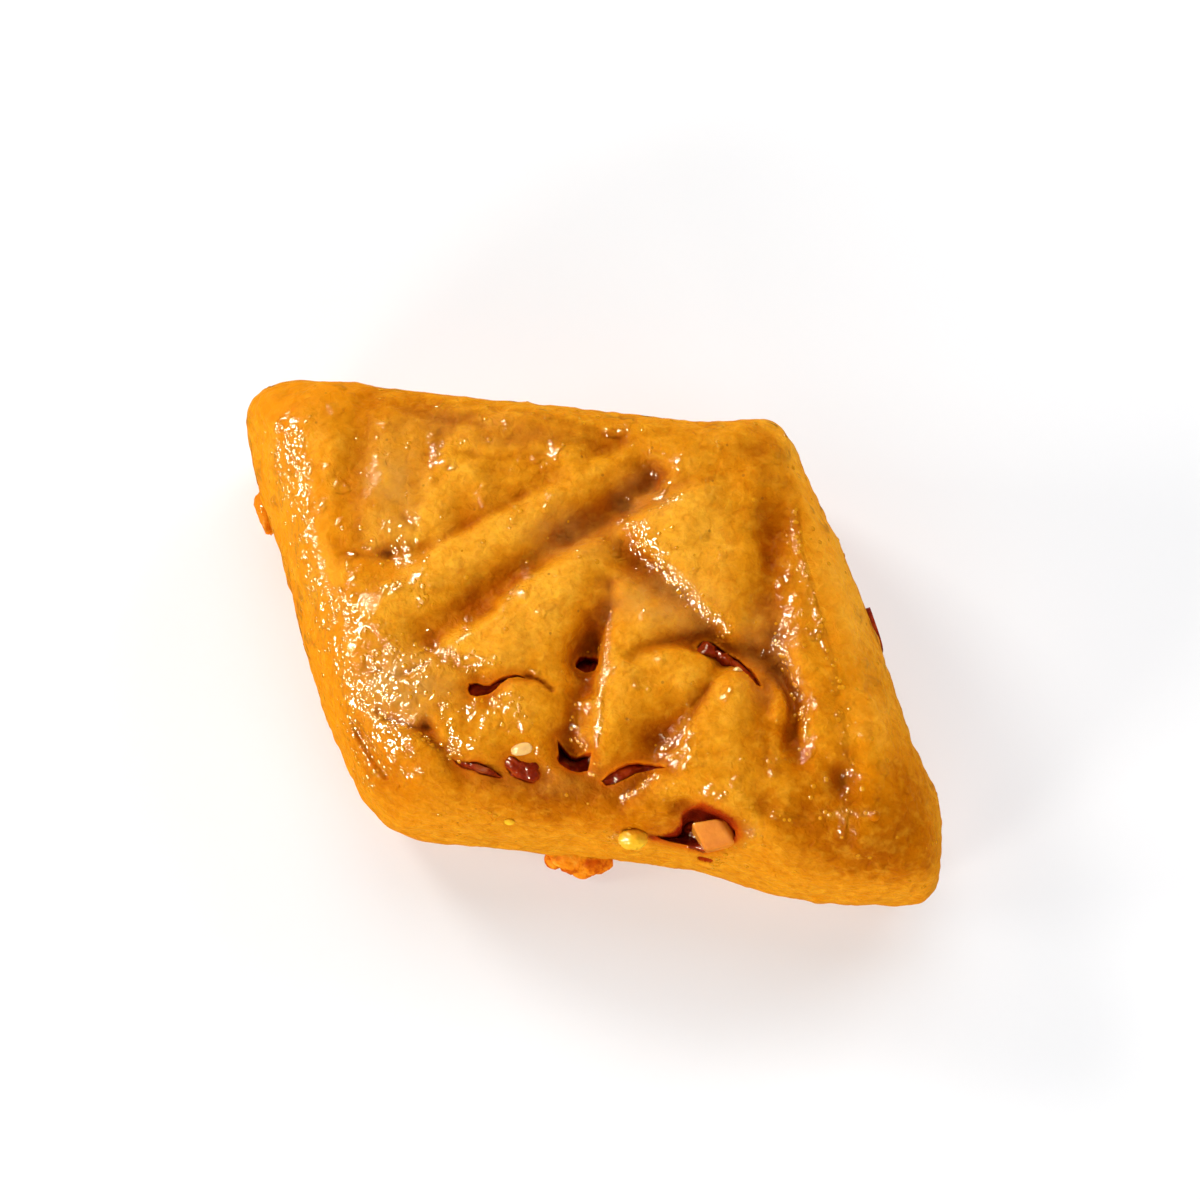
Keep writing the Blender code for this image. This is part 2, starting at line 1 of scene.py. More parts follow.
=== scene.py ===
"""Almond makroud: the looks of one diamond-cut piece of a semolina dough log, soaked in honey.

The pieces, in the order they are made: dough, honey beads, filling, almond piece, then the floor, light and
camera. Sizes are in millimetres until a mesh is written, and MM turns them into metres.
"""

import math

import bpy
import numpy as np
from mathutils import Matrix
from mathutils.bvhtree import BVHTree


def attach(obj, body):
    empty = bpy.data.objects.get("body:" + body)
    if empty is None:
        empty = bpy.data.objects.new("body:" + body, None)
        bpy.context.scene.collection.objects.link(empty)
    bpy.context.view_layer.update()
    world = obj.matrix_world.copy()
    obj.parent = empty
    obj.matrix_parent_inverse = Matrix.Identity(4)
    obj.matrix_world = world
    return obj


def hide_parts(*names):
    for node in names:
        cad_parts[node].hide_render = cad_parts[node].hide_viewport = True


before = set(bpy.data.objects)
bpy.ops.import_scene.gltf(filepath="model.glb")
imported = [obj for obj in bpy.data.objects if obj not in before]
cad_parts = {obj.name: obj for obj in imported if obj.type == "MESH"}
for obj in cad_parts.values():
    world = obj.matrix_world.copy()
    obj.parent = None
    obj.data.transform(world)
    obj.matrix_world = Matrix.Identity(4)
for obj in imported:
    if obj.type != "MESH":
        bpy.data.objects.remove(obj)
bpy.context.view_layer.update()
MM = 0.001

# ---------------------------------------------------------------------------------------------------------
# Dough. A log of fine semolina dough is filled, flattened, pressed with a carved board, cut on the slant,
# fried and then soaked in honey. The body is one closed skin: a pressed top, swollen sides and a flat
# underside, with the tears and the pocket cut right down to the core.

# Plan: corners, their rounding, and how far each side stands out at places along it
ORIGIN_SHIFT = (0.3, -0.26)
BACK_LEFT = (-29.3, 16.5)
BACK_RIGHT = (14.2, 18.9)
FRONT_RIGHT = (28.5, -18.4)
FRONT_LEFT = (-16.4, -15.1)
ROUND_BACK_LEFT = 0.16
ROUND_BACK_RIGHT = 0.12
ROUND_FRONT_RIGHT = 0.18
ROUND_FRONT_LEFT = 0.19
HALF_WIDTH = 18.4
SWELL_REACH = 0.14
SWELL_LEFT = ((0.04, -0.3), (0.2, 0.1), (0.4, -0.2), (0.8, 0.1), (0.96, -0.9))
SWELL_RIGHT = ((0.04, -1.0), (0.2, -0.1), (0.4, 0.6), (0.6, 0.9), (0.8, 1.5), (0.96, -0.5))
SWELL_FRONT = ((0.04, 0.4), (0.2, -0.2), (0.4, -0.8), (0.6, -0.9), (0.8, 0.3), (0.96, -1.3))
SWELL_BACK = ((0.04, 0.4), (0.2, 1.0), (0.6, -0.4), (0.8, -1.3), (0.96, -0.1))
SWELL_POWER = 6
SIDE_POWER = 8

# Heights of the dough, and for the left, right, front and back sides: the height of the widest line,
# the depth of the rounded shoulder, and how far the foot is drawn in
DOUGH_TOP = 17.6
WIDEST_AT = (7.0, 7.0, 6.0, 9.0)
SHOULDER = (6.0, 6.0, 8.0, 5.0)
DRAWN_IN = (2.6, 2.6, 2.4, 2.6)
SHOULDER_POWER = 2.3
# Faces of the skin along the log, across it and down its sides
ALONG = 248
ACROSS = 212
DOWN = 24

# Pressed and folded marks of the top. Each runs from a start through a middle to an end, with a half width
# on its left, a half width on its right, and a height: a ridge is positive, a groove negative.
MARKS = (
    ("rim_left", (-24.3, 10.9), (-22.5, 7.2), (-19.0, -3.1), 2.6, 5, 0.61),
    ("rim_left_low", (-18.3, -3.1), (-17.4, -8.2), (-13.6, -12.1), 3.6, 3, -0.45),
    ("crease_left", (-18.3, 15.6), (-18.5, 9.6), (-18.0, 4.3), 1.2, 1.4, -0.54),
    ("panel_left", (-14.5, 12.1), (-16.7, 8.6), (-17.1, 5.0), 1.7, 2.4, 0.29),
    ("crease_across", (-19.6, 3.5), (-17.6, 2.9), (-13.8, 3.7), 0.78, 1.1, -0.32),
    ("pit_across", (-15.7, 3.2), (-15.8, 3.2), (-15.6, 3.1), 0.43, 0.42, -0.43),
    ("leaf_edge", (-11.0, 12.6), (-12.7, 8.7), (-13.6, 4.4), 3.1, 1, 0.66),
    ("leaf_dome", (-10.6, 12.5), (-6.4, 11.8), (-1.2, 13.1), 1, 1, 0.16),
    ("leaf_low", (-10.5, 6.7), (-8.3, 10.4), (-5.4, 11.6), 1.2, 1.2, -0.27),
    ("leaf_groove", (-13.4, 3.3), (-8.7, 6.8), (-3.8, 10.5), 0.98, 0.56, -0.24),
    ("tongue", (-15.4, 5.9), (-14.5, 4.5), (-13.7, 4.0), 0.54, 0.57, 0.18),
    ("rib_long", (-15.6, -1.5), (-9.1, 4.4), (1.1, 11.4), 1.6, 1.9, 0.52),
    ("rib_long_root", (-17.6, -1.0), (-16.2, -2.0), (-15.0, -3.3), 1.3, 0.51, 0.09),
    ("valley_long", (-11.5, -2.6), (-4.0, 4.1), (3.6, 10.5), 1.8, 1.2, -1.2),
    ("valley_deep", (-2.7, 6.0), (-0.3, 8.7), (3.0, 11.0), 1.3, 1.1, -0.95),
    ("rib_lower", (-10.1, -2.9), (-6.2, -1.5), (-2.3, 3.7), 2.9, 3.3, 0.84),
    ("rib_lower_end", (-12.2, -3.6), (-12.2, -3.6), (-11.8, -3.6), 0.74, 0.74, -0.25),
    ("valley_upright", (1.0, 1.9), (0.8, 0.0), (-0.4, -3.3), 0.78, 1.9, -1.44),
    ("valley_upright_low", (0.0, -2.4), (-0.2, -6.4), (-0.9, -9.5), 1.6, 1.2, -1.74),
    ("block_edge", (3.6, 5.8), (6.0, 4.0), (10.2, 0.1), 2.3, 0.75, 1.10),
    ("block_foot", (2.1, 5.3), (5.1, 2.3), (11.5, -1.3), 2.4, 2.3, -1.30),
    ("block_top", (1.6, 7.0), (5.2, 8.9), (7.9, 10.4), 0.47, 1.8, 0.34),
    ("block_back_valley", (1.2, 9.2), (3.2, 8.7), (5.7, 10.8), 0.58, 0.86, -0.42),
    ("groove_right", (11.4, 13.6), (13.0, 8.4), (12.9, -1.2), 1.7, 2.1, -1.10),
    ("rim_right", (13.2, 11.7), (18.4, 6.1), (21.3, -7.1), 5, 2.1, 1.15),
    ("top_band", (-8.8, 12.5), (-3.8, 13.4), (1.7, 12.2), 1.3, 0.83, -0.44),
    ("top_wedge", (-1.4, 12.3), (-1.0, 12.5), (0.7, 13.7), 1.7, 0.66, -0.35),
    ("mound_upper", (3.5, 1.2), (4.7, 0.6), (6.5, 0.5), 2.6, 1.2, 0.73),
    ("mound_crease", (3.1, -3.0), (5.2, -1.8), (7.6, -1.4), 1.1, 0.72, -0.66),
    ("mound_edge", (0.2, 0.5), (1.2, -2.8), (1.2, -9.2), 3.2, 0.65, 0.66),
    ("mound_dome", (1.7, -6.8), (6.2, -6.0), (8.0, -3.4), 4, 1.5, 0.51),
    ("mound_groove", (9.4, -2.8), (7.7, -5.9), (5.6, -8.3), 1.1, 2.8, -1.26),
    ("wedge_dome", (11.6, -2.8), (10.6, -7.4), (11.5, -12.6), 1.7, 3.5, 0.45),
    ("wedge_valley", (14.1, -2.8), (14.4, -7.3), (15.8, -8.8), 0.95, 2, -1.12),
    ("wedge_peak", (13.8, -3.0), (14.4, -4.6), (14.4, -6.1), 0.45, 0.87, 0.91),
    ("flap_low", (5.0, -13.5), (5.5, -13.0), (7.7, -12.0), 1, 1.2, 0.66),
    ("flap_high", (6.3, -11.5), (6.6, -10.4), (7.8, -10.2), 0.86, 2, 0.88),
    ("flap_curl", (7.7, -13.2), (8.2, -13.1), (8.8, -13.5), 0.31, 1.8, -1.40),
    ("knob", (-3.1, -5.3), (-1.8, -6.3), (-2.1, -6.1), 1.2, 1.2, -0.36),
    ("lobe", (0.2, -6.9), (0.1, -7.9), (0.2, -8.8), 0.73, 0.96, 0.94),
    ("glossy_lump", (-7.2, -8.9), (-4.8, -8.0), (-3.4, -10.0), 1.5, 3.9, 0.31),
    ("panel_low", (-14.7, -7.3), (-13.2, -7.2), (-10.8, -7.2), 1.6, 3.6, -0.22),
    ("panel_low_line", (-16.2, -5.5), (-13.6, -5.9), (-11.7, -3.8), 0.44, 0.44, -0.22),
    ("panel_low_flap", (-15.3, -4.4), (-14.6, -4.8), (-13.4, -3.7), 0.6, 0.52, -0.11),
    ("pit_low", (-15.0, -8.6), (-13.2, -9.4), (-11.2, -9.5), 0.47, 0.36, -0.36),
    ("pit_low_deep", (-11.6, -9.4), (-11.4, -9.5), (-10.7, -10.1), 0.42, 0.83, -0.82),
    ("ridge_low", (-10.6, -10.2), (-9.7, -9.0), (-9.9, -8.2), 0.69, 0.74, 0.17),
    ("lip_left", (-10.0, -11.0), (-8.1, -12.7), (-5.9, -12.6), 0.45, 0.82, -0.46),
    ("seam_front", (-2.7, -12.8), (-0.3, -13.3), (6.0, -10.7), 2.3, 3.5, -1.78),
    ("fold_left", (-16.2, -10.8), (-15.0, -12.5), (-13.7, -13.2), 0.76, 1.5, -1.14),
    ("dimple_right", (19.8, -8.8), (19.4, -11.6), (18.9, -12.7), 2.2, 0.96, -0.77),
    ("dimple_branch", (19.3, -10.9), (18.3, -11.2), (17.2, -12.6), 1.2, 1.7, -1.03),
    ("groove_right_low", (13.9, -3.0), (15.3, -4.7), (15.6, -7.4), 0.96, 0.76, -1.47),
    ("corner_crease", (24.1, -16.6), (25.8, -16.2), (26.7, -15.2), 0.6, 0.39, -1.06),
    ("corner_crease_2", (21.2, -16.5), (21.9, -15.9), (23.3, -15.8), 0.42, 0.39, -0.69),
    ("corner_back", (11.0, 16.1), (12.4, 14.9), (13.4, 13.3), 0.52, 0.67, -0.33),
    ("step_mark", (12.4, -11.4), (12.8, -11.1), (13.2, -11.0), 0.27, 0.28, 0.10),
    ("pocket", (-23.5, 9.6), (-23.9, 10.8), (-24.6, 12.6), 0.73, 1.2, -0.39),
    ("back_crease_1", (-13.5, 15.7), (-11.6, 15.6), (-10.2, 16.0), 0.32, 0.37, -0.24),
    ("back_crease_2", (-14.3, 15.4), (-13.0, 14.7), (-10.8, 14.5), 0.57, 3.4, -0.53),
    ("back_crease_3", (-19.2, 16.0), (-18.5, 15.3), (-17.9, 15.5), 0.31, 0.32, 0.10),
    ("back_crease_4", (-9.3, 16.0), (-8.9, 15.6), (-8.6, 15.5), 0.3, 0.31, -0.13),
    ("front_dip", (4.8, -15.3), (9.4, -15.0), (12.3, -14.7), 0.83, 0.62, -1.16),
    ("dent_1", (23.8, -16.5), (24.4, -12.5), (24.7, -9.6), 3.6, 3.4, -1.39),
    ("dent_2", (18.0, -15.0), (21.8, -15.8), (25.0, -13.7), 1.4, 3, -0.64),
    ("rise_1", (22.5, -8.9), (21.7, -6.0), (20.6, -4.6), 2.1, 1.3, 0.38),
    ("dent_3", (19.8, -5.5), (21.6, -2.8), (20.9, 0.0), 1.7, 3, -0.76),
    ("dent_4", (24.1, -11.8), (23.8, -8.7), (23.9, -6.6), 1.8, 1.8, -0.34),
    ("rise_2", (13.8, 5.3), (16.2, 3.8), (18.5, 4.1), 2.4, 0.82, 0.15),
    ("dent_5", (14.0, -13.3), (18.4, -15.2), (20.2, -14.8), 1.4, 0.79, -0.47),
    ("rise_3", (14.6, 3.1), (12.6, 4.4), (11.4, 6.0), 1.2, 0.44, 0.23),
    ("dent_6", (13.4, -4.5), (17.1, -4.3), (20.4, -2.6), 1.3, 1.5, -0.35),
    ("rise_4", (14.8, -1.0), (16.7, 0.7), (18.9, 1.4), 1.3, 1.4, 0.24),
    ("rise_5", (8.5, 6.5), (7.6, 7.6), (5.3, 9.8), 2.8, 2, 0.54),
    ("rise_6", (7.3, -4.6), (8.2, -3.5), (8.6, -2.7), 1.3, 1, 0.66),
    ("rise_7", (21.3, 0.8), (18.9, 2.5), (17.5, 6.0), 1.5, 3.9, 0.48),
    ("dent_7", (19.4, -13.4), (21.1, -11.8), (23.2, -9.0), 1, 0.92, -0.26),
    ("dent_8", (12.6, 5.2), (12.6, 6.4), (12.6, 7.4), 0.89, 0.61, -0.26),
    ("dent_9", (3.4, -13.4), (3.6, -12.7), (4.8, -11.3), 0.6, 0.37, -0.55),
    ("rise_8", (12.6, -0.2), (12.4, 0.0), (12.6, 0.6), 0.73, 0.56, 0.47),
    ("rise_9", (15.0, -9.5), (14.4, -8.7), (14.4, -7.8), 1.1, 0.5, 0.46),
    ("dent_10", (-8.5, -12.7), (-8.8, -9.9), (-8.3, -7.6), 1.1, 1.1, -0.34),
    ("dent_11", (-7.0, -7.5), (-7.9, -5.8), (-10.7, -4.5), 0.54, 1.1, -0.51),
    ("dent_12", (0.6, 0.3), (1.6, -0.0), (2.1, 0.5), 1.1, 1.4, -0.60),
    ("rise_10", (-20.7, 10.8), (-19.8, 11.9), (-18.7, 13.6), 0.99, 1.8, 0.25),
    ("dent_13", (11.6, -10.8), (11.1, -8.3), (9.6, -6.8), 1.4, 2.2, -0.32),
    ("rise_11", (11.8, -5.7), (11.8, -4.4), (11.9, -2.9), 0.79, 0.73, 0.13),
    ("dent_14", (13.2, -13.2), (13.0, -11.6), (14.5, -10.3), 0.83, 1.6, -0.23),
    ("rise_12", (0.4, 2.0), (1.1, 1.8), (1.4, 2.0), 0.73, 0.56, 0.37),
    ("rise_13", (-9.5, 8.7), (-9.8, 9.5), (-10.8, 10.3), 1.3, 1, 0.34),
    ("dent_15", (14.8, 9.1), (14.5, 10.1), (13.9, 11.6), 1.3, 0.85, -0.55),
    ("dent_16", (2.8, -12.7), (0.7, -11.6), (-1.0, -9.7), 0.99, 1, -0.67),
    ("dent_17", (-3.7, 6.4), (-5.4, 7.2), (-6.4, 8.4), 0.84, 0.8, -0.16),
    ("dent_18", (-0.2, -9.2), (2.0, -7.3), (3.8, -5.2), 1.7, 1.8, -0.25),
    ("dent_19", (-8.0, -0.9), (-6.2, -0.3), (-5.0, -0.9), 0.74, 0.8, -0.19),
    ("dent_20", (3.0, 10.4), (3.7, 11.0), (4.1, 11.4), 0.55, 0.58, -0.23),
    ("dent_21", (-8.9, -1.7), (-8.2, -0.8), (-7.4, -0.4), 0.48, 0.49, -0.22),
    ("rise_14", (-5.3, 1.4), (-5.4, 2.8), (-5.3, 4.5), 0.87, 1.1, 0.08),
    ("rise_15", (-7.5, -4.9), (-6.0, -3.7), (-5.5, -2.5), 1.1, 1.1, 0.14),
    ("dent_22", (8.3, 2.2), (8.1, 3.7), (7.7, 5.3), 1.5, 0.97, -0.22),
    ("dent_23", (19.4, -10.2), (18.8, -9.9), (18.2, -9.2), 0.64, 0.56, -0.31),
    ("dent_24", (2.6, -6.7), (3.4, -4.9), (4.8, -4.5), 1.1, 0.99, -0.10),
    ("dent_25", (-4.1, -3.0), (-3.8, -2.4), (-3.1, -1.6), 0.65, 0.61, -0.12),
    ("dent_26", (13.8, 0.1), (15.3, 0.1), (16.8, 0.3), 0.86, 0.78, -0.31),
    ("rise_16", (-6.2, 4.4), (-7.2, 5.6), (-8.2, 6.4), 0.74, 0.83, 0.11),
)

# Thin creases: a line, its half width and its depth
CREASES = (
    ("left_crease", ((-19.0, 15.5), (-19.5, 12.1), (-19.7, 8.1), (-19.4, 4.0)), 0.55, 0.1),
    ("across", ((-19.1, 3.0), (-16.8, 2.8), (-15.2, 3.7), (-13.3, 3.9)), 0.35, 0.16),
    ("leaf_tip", ((-13.9, 4.2), (-13.8, 7.0), (-12.4, 9.5), (-10.0, 11.3)), 0.4, 0.16),
    ("leaf_under", ((-12.9, 3.8), (-10.1, 5.7), (-6.3, 8.3), (-2.7, 10.2)), 0.45, 0.12),
    ("tongue_arc", ((-14.7, 6.0), (-13.7, 5.2), (-12.5, 5.1)), 0.25, 0.14),
    ("panel_edge", ((-16.5, -7.7), (-14.6, -9.1), (-12.5, -9.7), (-10.3, -11.0)), 0.28, 0.3),
    ("panel_top", ((-15.9, -5.5), (-13.9, -6.0), (-11.8, -5.0)), 0.25, 0.22),
    ("groove_line", ((9.0, -4.7), (7.9, -7.3), (6.5, -9.7), (5.4, -10.9)), 0.25, 0.24),
    ("crack_tail", ((-4.4, -5.1), (-3.4, -5.4), (-2.5, -6.0)), 0.22, 0.40),
    ("fold", ((-16.9, -9.4), (-16.0, -10.6), (-14.9, -12.0), (-14.2, -12.7)), 0.3, 1.5),
    ("lump_side", ((-10.6, -8.0), (-9.5, -10.1), (-9.7, -11.6)), 0.28, 0.22),
    ("block_left", ((2.0, 7.1), (3.0, 5.5), (5.0, 3.7), (7.1, 1.9)), 0.35, 0.12),
    ("mound_top", ((0.8, -3.3), (3.7, -2.2), (7.3, -1.0)), 0.35, 0.1),
    ("right_fold", ((11.7, 12.4), (11.8, 7.1), (13.0, 2.6)), 0.45, 0.08),
    ("wedge", ((13.2, -3.7), (13.9, -6.6), (13.8, -9.7)), 0.3, 0.14),
    ("back_1", ((-16.4, 15.0), (-13.6, 14.1), (-9.8, 13.8)), 0.35, 0.16),
    ("back_2", ((-7.0, 15.3), (-3.9, 14.9), (0.7, 13.9)), 0.35, 0.16),
    ("back_3", ((-11.4, 11.3), (-8.1, 11.3), (-4.8, 12.1)), 0.3, 0.14),
    ("rim_low", ((-16.1, -4.1), (-16.8, -6.0), (-17.3, -7.6)), 0.28, 0.16),
)

# The dough's unevenness and the small bumps of its skin: size, height and seed of each. The bumps fade out
# towards the flat underside.
UNEVEN = ((7.0, 0.16, 11), (3.1, 0.08, 12))
SKIN_BUMPS = ((4.6, 0.11, 24), (2.2, 0.16, 21), (1.1, 0.11, 22), (0.6, 0.06, 23))
BUMPS_FADE = 1.5

# Tears in the pressed top, each by its outline, and the open pocket. They are cut from the floor up, drawn
# in towards it, with uneven walls; the lips round them are soft.
TEARS = {
    "left_tear": (
        (-8.85, -6.50), (-8.75, -6.10), (-8.20, -5.90), (-7.60, -6.05), (-7.10, -6.00), (-6.70, -5.65),
        (-6.35, -5.45), (-5.80, -5.25), (-5.14, -5.08), (-4.38, -5.18), (-4.40, -5.32), (-5.00, -5.30),
        (-5.70, -5.50), (-6.15, -5.90), (-6.50, -6.35), (-7.05, -6.70), (-7.55, -6.90), (-8.00, -7.10),
        (-8.55, -7.00),
    ),
    "round_hole": (
        (-1.10, -3.30), (-0.85, -2.70), (-0.30, -2.35), (0.35, -2.50), (0.80, -2.95), (0.85, -3.50),
        (0.60, -3.95), (0.00, -4.00), (-0.65, -3.75), (-1.00, -3.60),
    ),
    "front_tear_left": (
        (-9.41, -11.57), (-8.95, -11.76), (-8.44, -11.82), (-7.89, -11.70), (-7.38, -11.72),
        (-6.78, -11.93), (-6.19, -12.11), (-5.72, -12.31), (-5.45, -12.51), (-5.88, -12.56),
        (-6.52, -12.55), (-7.17, -12.48), (-7.80, -12.31), (-8.55, -12.17), (-9.08, -11.93),
    ),
    "front_notch": (
        (-5.56, -11.38), (-5.23, -11.00), (-4.76, -11.04), (-4.24, -11.28), (-3.63, -11.32),
        (-3.09, -11.50), (-2.72, -11.88), (-2.73, -12.30), (-3.22, -12.66), (-3.91, -12.57),
        (-4.51, -12.45), (-4.99, -12.15), (-5.39, -11.84),
    ),
    "front_hole": (
        (-1.90, -9.15), (-1.30, -9.60), (-0.75, -10.10), (-0.15, -10.30), (0.45, -10.10), (1.00, -10.20),
        (0.98, -10.90), (0.90, -11.45), (0.20, -11.65), (-0.50, -11.65), (-1.10, -11.50), (-1.55, -11.20),
        (-1.75, -10.70), (-1.65, -10.20),
    ),
    "front_tear_mid": (
        (1.55, -12.05), (2.20, -11.45), (2.85, -11.00), (3.60, -10.62), (4.30, -10.38), (5.10, -10.35),
        (5.90, -10.55), (6.70, -10.90), (6.20, -10.95), (5.50, -10.95), (4.90, -11.05), (4.30, -11.25),
        (3.75, -11.60), (3.15, -11.95), (2.60, -12.20), (2.00, -12.30),
    ),
    "right_tear": (
        (7.64, -1.28), (7.90, -0.82), (8.49, -0.62), (9.11, -0.84), (9.73, -1.23), (10.46, -1.64),
        (11.13, -1.94), (11.75, -2.36), (12.29, -2.85), (12.72, -3.43), (13.16, -4.11), (12.75, -4.09),
        (12.15, -3.58), (11.58, -3.15), (11.05, -2.84), (10.44, -2.62), (10.02, -2.63), (9.42, -2.20),
        (8.98, -1.79), (8.35, -1.56), (7.84, -1.63),
    ),
    "pocket": (
        (5.63, -15.06), (6.56, -15.02), (7.42, -14.80), (7.87, -14.39), (7.88, -14.03), (7.90, -13.70),
        (8.34, -13.34), (8.68, -13.19), (9.39, -13.21), (10.12, -13.42), (11.05, -13.76), (11.80, -14.01),
        (12.39, -14.50), (12.58, -14.90), (12.20, -15.30), (10.95, -15.72), (9.80, -15.92), (9.20, -15.72),
        (8.40, -15.58), (7.68, -15.50), (6.78, -15.40), (5.97, -15.26),
    ),
}
TEAR_FLOOR = 9.5
TEAR_CEILING = 21.0
TEAR_TAPER = 0.8
TEAR_STEP = 0.16
TEAR_LEVELS = 14
WALL_BUMPS = ((0.45, 0.08, 7), (1.1, 0.08, 8))
LIP_REACH = 0.45
LIP_DROP = 0.28

# Small bits of dough and paste fused to the body: middle, half sizes and turn about Z in degrees
BITS = (
    ("flap_left", (-26.0, 8.7, 5.9), (0.8, 1.8, 1.4), 22.0),
    ("paste_foot", (-0.3, -14.6, 1.5), (1.8, 1.75, 1.4), -8.0),
    ("paste_foot_right", (1.5, -14.7, 1.3), (1.45, 1.5, 1.2), 15.0),
    ("paste_foot_low", (0.8, -15.7, 0.8), (0.95, 0.8, 0.75), 30.0),
    ("paste_foot_side", (-1.5, -15.25, 1.0), (0.8, 0.75, 0.9), 10.0),
    ("yellow_bit", (4.5, -15.45, 11.7), (1.15, 0.8, 0.95), 5.0),
    ("pale_bit", (-4.2, -10.5, 16.7), (0.95, 0.5, 0.55), 20.0),
    ("yellow_dot", (-4.8, -14.9, 11.6), (0.42, 0.34, 0.4), 0.0),
    ("pale_crumb", (11.1, -3.05, 16.75), (0.42, 0.26, 0.35), 20.0),
    ("crumb_right", (22.1, -12.9, 15.85), (0.45, 0.4, 0.35), 0.0),
)
FIRST_BIT_SEED = 30

# A short slit under the pocket, cut into the front: middle, half sizes, turn about Z in degrees, and seed
SLIT = ((9.95, -15.95, 8.9), (0.62, 0.75, 1.1), -14.0, 45)

# Where the honey lies wet and uneven: rows along crests and creases, each with a reach on both sides and
# beads to the square millimetre on it, and patches with two half widths and a share of the full wetness
WET_ROWS = (
    ("left_rim", ((-24.0, 12.1), (-22.8, 7.1), (-22.2, 3.9), (-21.0, 0.9), (-19.9, -1.7), (-19.1, -3.4)),
     0.9, 1.2),
    ("left_rim_low", ((-19.1, -3.4), (-18.2, -5.3), (-17.3, -7.6), (-16.3, -10.0), (-15.3, -12.4)), 0.7, 1.2),
    ("pocket_row", ((-25.0, 11.3), (-24.8, 9.5), (-24.1, 7.1)), 0.2, 2.5),
    ("pocket_row_2", ((-23.8, 12.6), (-23.4, 9.9), (-22.5, 7.7)), 0.25, 2.5),
    ("rib_root", ((-17.9, -0.9), (-16.2, -2.2), (-14.6, -3.5)), 0.5, 1.5),
    ("rib_end", ((-14.8, 0.5), (-13.3, 0.7), (-12.5, -0.3)), 0.3, 2.5),
    ("crack_row", ((-11.8, -3.5), (-10.2, -4.1), (-8.1, -4.7), (-6.5, -4.3)), 0.3, 3.0),
    ("crack_row_2", ((-10.6, -4.5), (-9.2, -5.0), (-8.3, -5.6)), 0.25, 2.5),
    ("lump_top", ((-8.3, -7.3), (-6.8, -6.7), (-5.3, -7.0), (-4.6, -8.3)), 0.35, 2.0),
    ("hole_side", ((0.9, 0.6), (1.2, -2.6), (1.1, -5.7), (1.2, -8.8), (0.9, -11.5)), 0.2, 3.0),
    ("hole_side_2", ((-0.7, -7.0), (-0.6, -9.2), (0.4, -9.9)), 0.2, 3.0),
    ("block_edge", ((1.9, 7.2), (4.4, 4.6), (6.9, 2.3), (8.3, 1.1), (10.1, -0.2)), 0.3, 4.0),
    ("right_row", ((14.2, 9.9), (14.9, 6.1), (15.9, 3.2), (16.9, 0.9), (17.7, -1.4), (18.5, -3.9)),
     0.25, 3.5),
    ("right_row_low", ((18.9, -5.8), (19.5, -8.3), (19.8, -10.7), (19.9, -14.4)), 0.25, 1.6),
    ("groove_row", ((13.6, -0.3), (14.5, -1.9), (15.6, -4.0), (16.5, -7.5)), 0.25, 3.5),
    ("base_row", ((3.1, -13.2), (4.5, -12.3), (5.7, -11.3), (6.9, -10.4)), 0.25, 3.0),
    ("front_row", ((2.5, -15.2), (3.9, -15.1), (4.4, -14.9)), 0.2, 3.0),
    ("nut_row", ((8.5, -14.2), (10.2, -13.9), (12.3, -14.4), (13.3, -15.0)), 0.15, 3.0),
    ("nut_row_low", ((7.9, -16.0), (9.9, -16.3), (11.0, -16.05), (12.7, -15.4)), 0.15, 4.0),
    ("valley_row", ((-6.4, 0.8), (-5.9, 1.3), (-5.1, 0.7)), 0.2, 2.5),
    ("back_row", ((6.3, 9.7), (5.0, 9.4), (3.8, 8.6)), 0.25, 2.0),
    ("panel_edge", ((-16.5, -7.7), (-14.6, -9.1), (-12.5, -9.7), (-10.3, -11.0)), 0.2, 3.5),
    ("panel_top", ((-15.9, -5.5), (-13.9, -6.0), (-11.8, -5.0)), 0.2, 3.0),
    ("lump_side", ((-10.3, -8.0), (-9.2, -10.1), (-9.4, -11.4)), 0.35, 3.0),
    ("panel_row", ((-16.6, -5.0), (-15.0, -4.2), (-13.4, -4.6), (-12.2, -3.6)), 0.35, 3.0),
    ("panel_row_2", ((-16.9, -7.2), (-15.2, -7.6), (-13.0, -7.2)), 0.3, 3.0),
    ("front_right_row", ((14.8, -13.6), (16.7, -13.8), (19.4, -12.9), (22.1, -12.6)), 0.25, 1.2),
)
WET_PATCHES = (
    ("leaf_foot", (-14.7, 4.4), (1.5, 1.9), 1.0),
    ("rim_root", (-17.8, -2.1), (2.0, 2.3), 0.9),
    ("low_panel", (-13.9, -6.5), (3.6, 3.0), 1.0),
    ("low_left", (-14.6, -10.6), (2.6, 2.6), 0.8),
    ("lump_left", (-7.9, -9.1), (1.8, 2.8), 0.9),
    ("block_corner", (3.4, 5.6), (1.4, 1.6), 1.0),
    ("base_patch", (6.5, -10.1), (1.2, 1.1), 1.0),
    ("upper_panel", (-16.4, 8.7), (2.9, 4.1), 0.33),
    ("lip_patch", (-5.8, -8.4), (2.0, 1.6), 0.5),
    ("nut_top", (9.9, -12.4), (1.2, 0.6), 0.8),
    ("right_slope", (14.6, 2.5), (1.6, 5.0), 0.5),
    ("right_low", (19.2, -9.0), (1.6, 4.0), 0.45),
)
ROW_WETNESS = 0.9
ROW_MARGIN = 0.1
ROW_CROWDING = 2.2
BEADS_ALL_OVER = 0.08
BEADS_IN_PATCH = 0.8

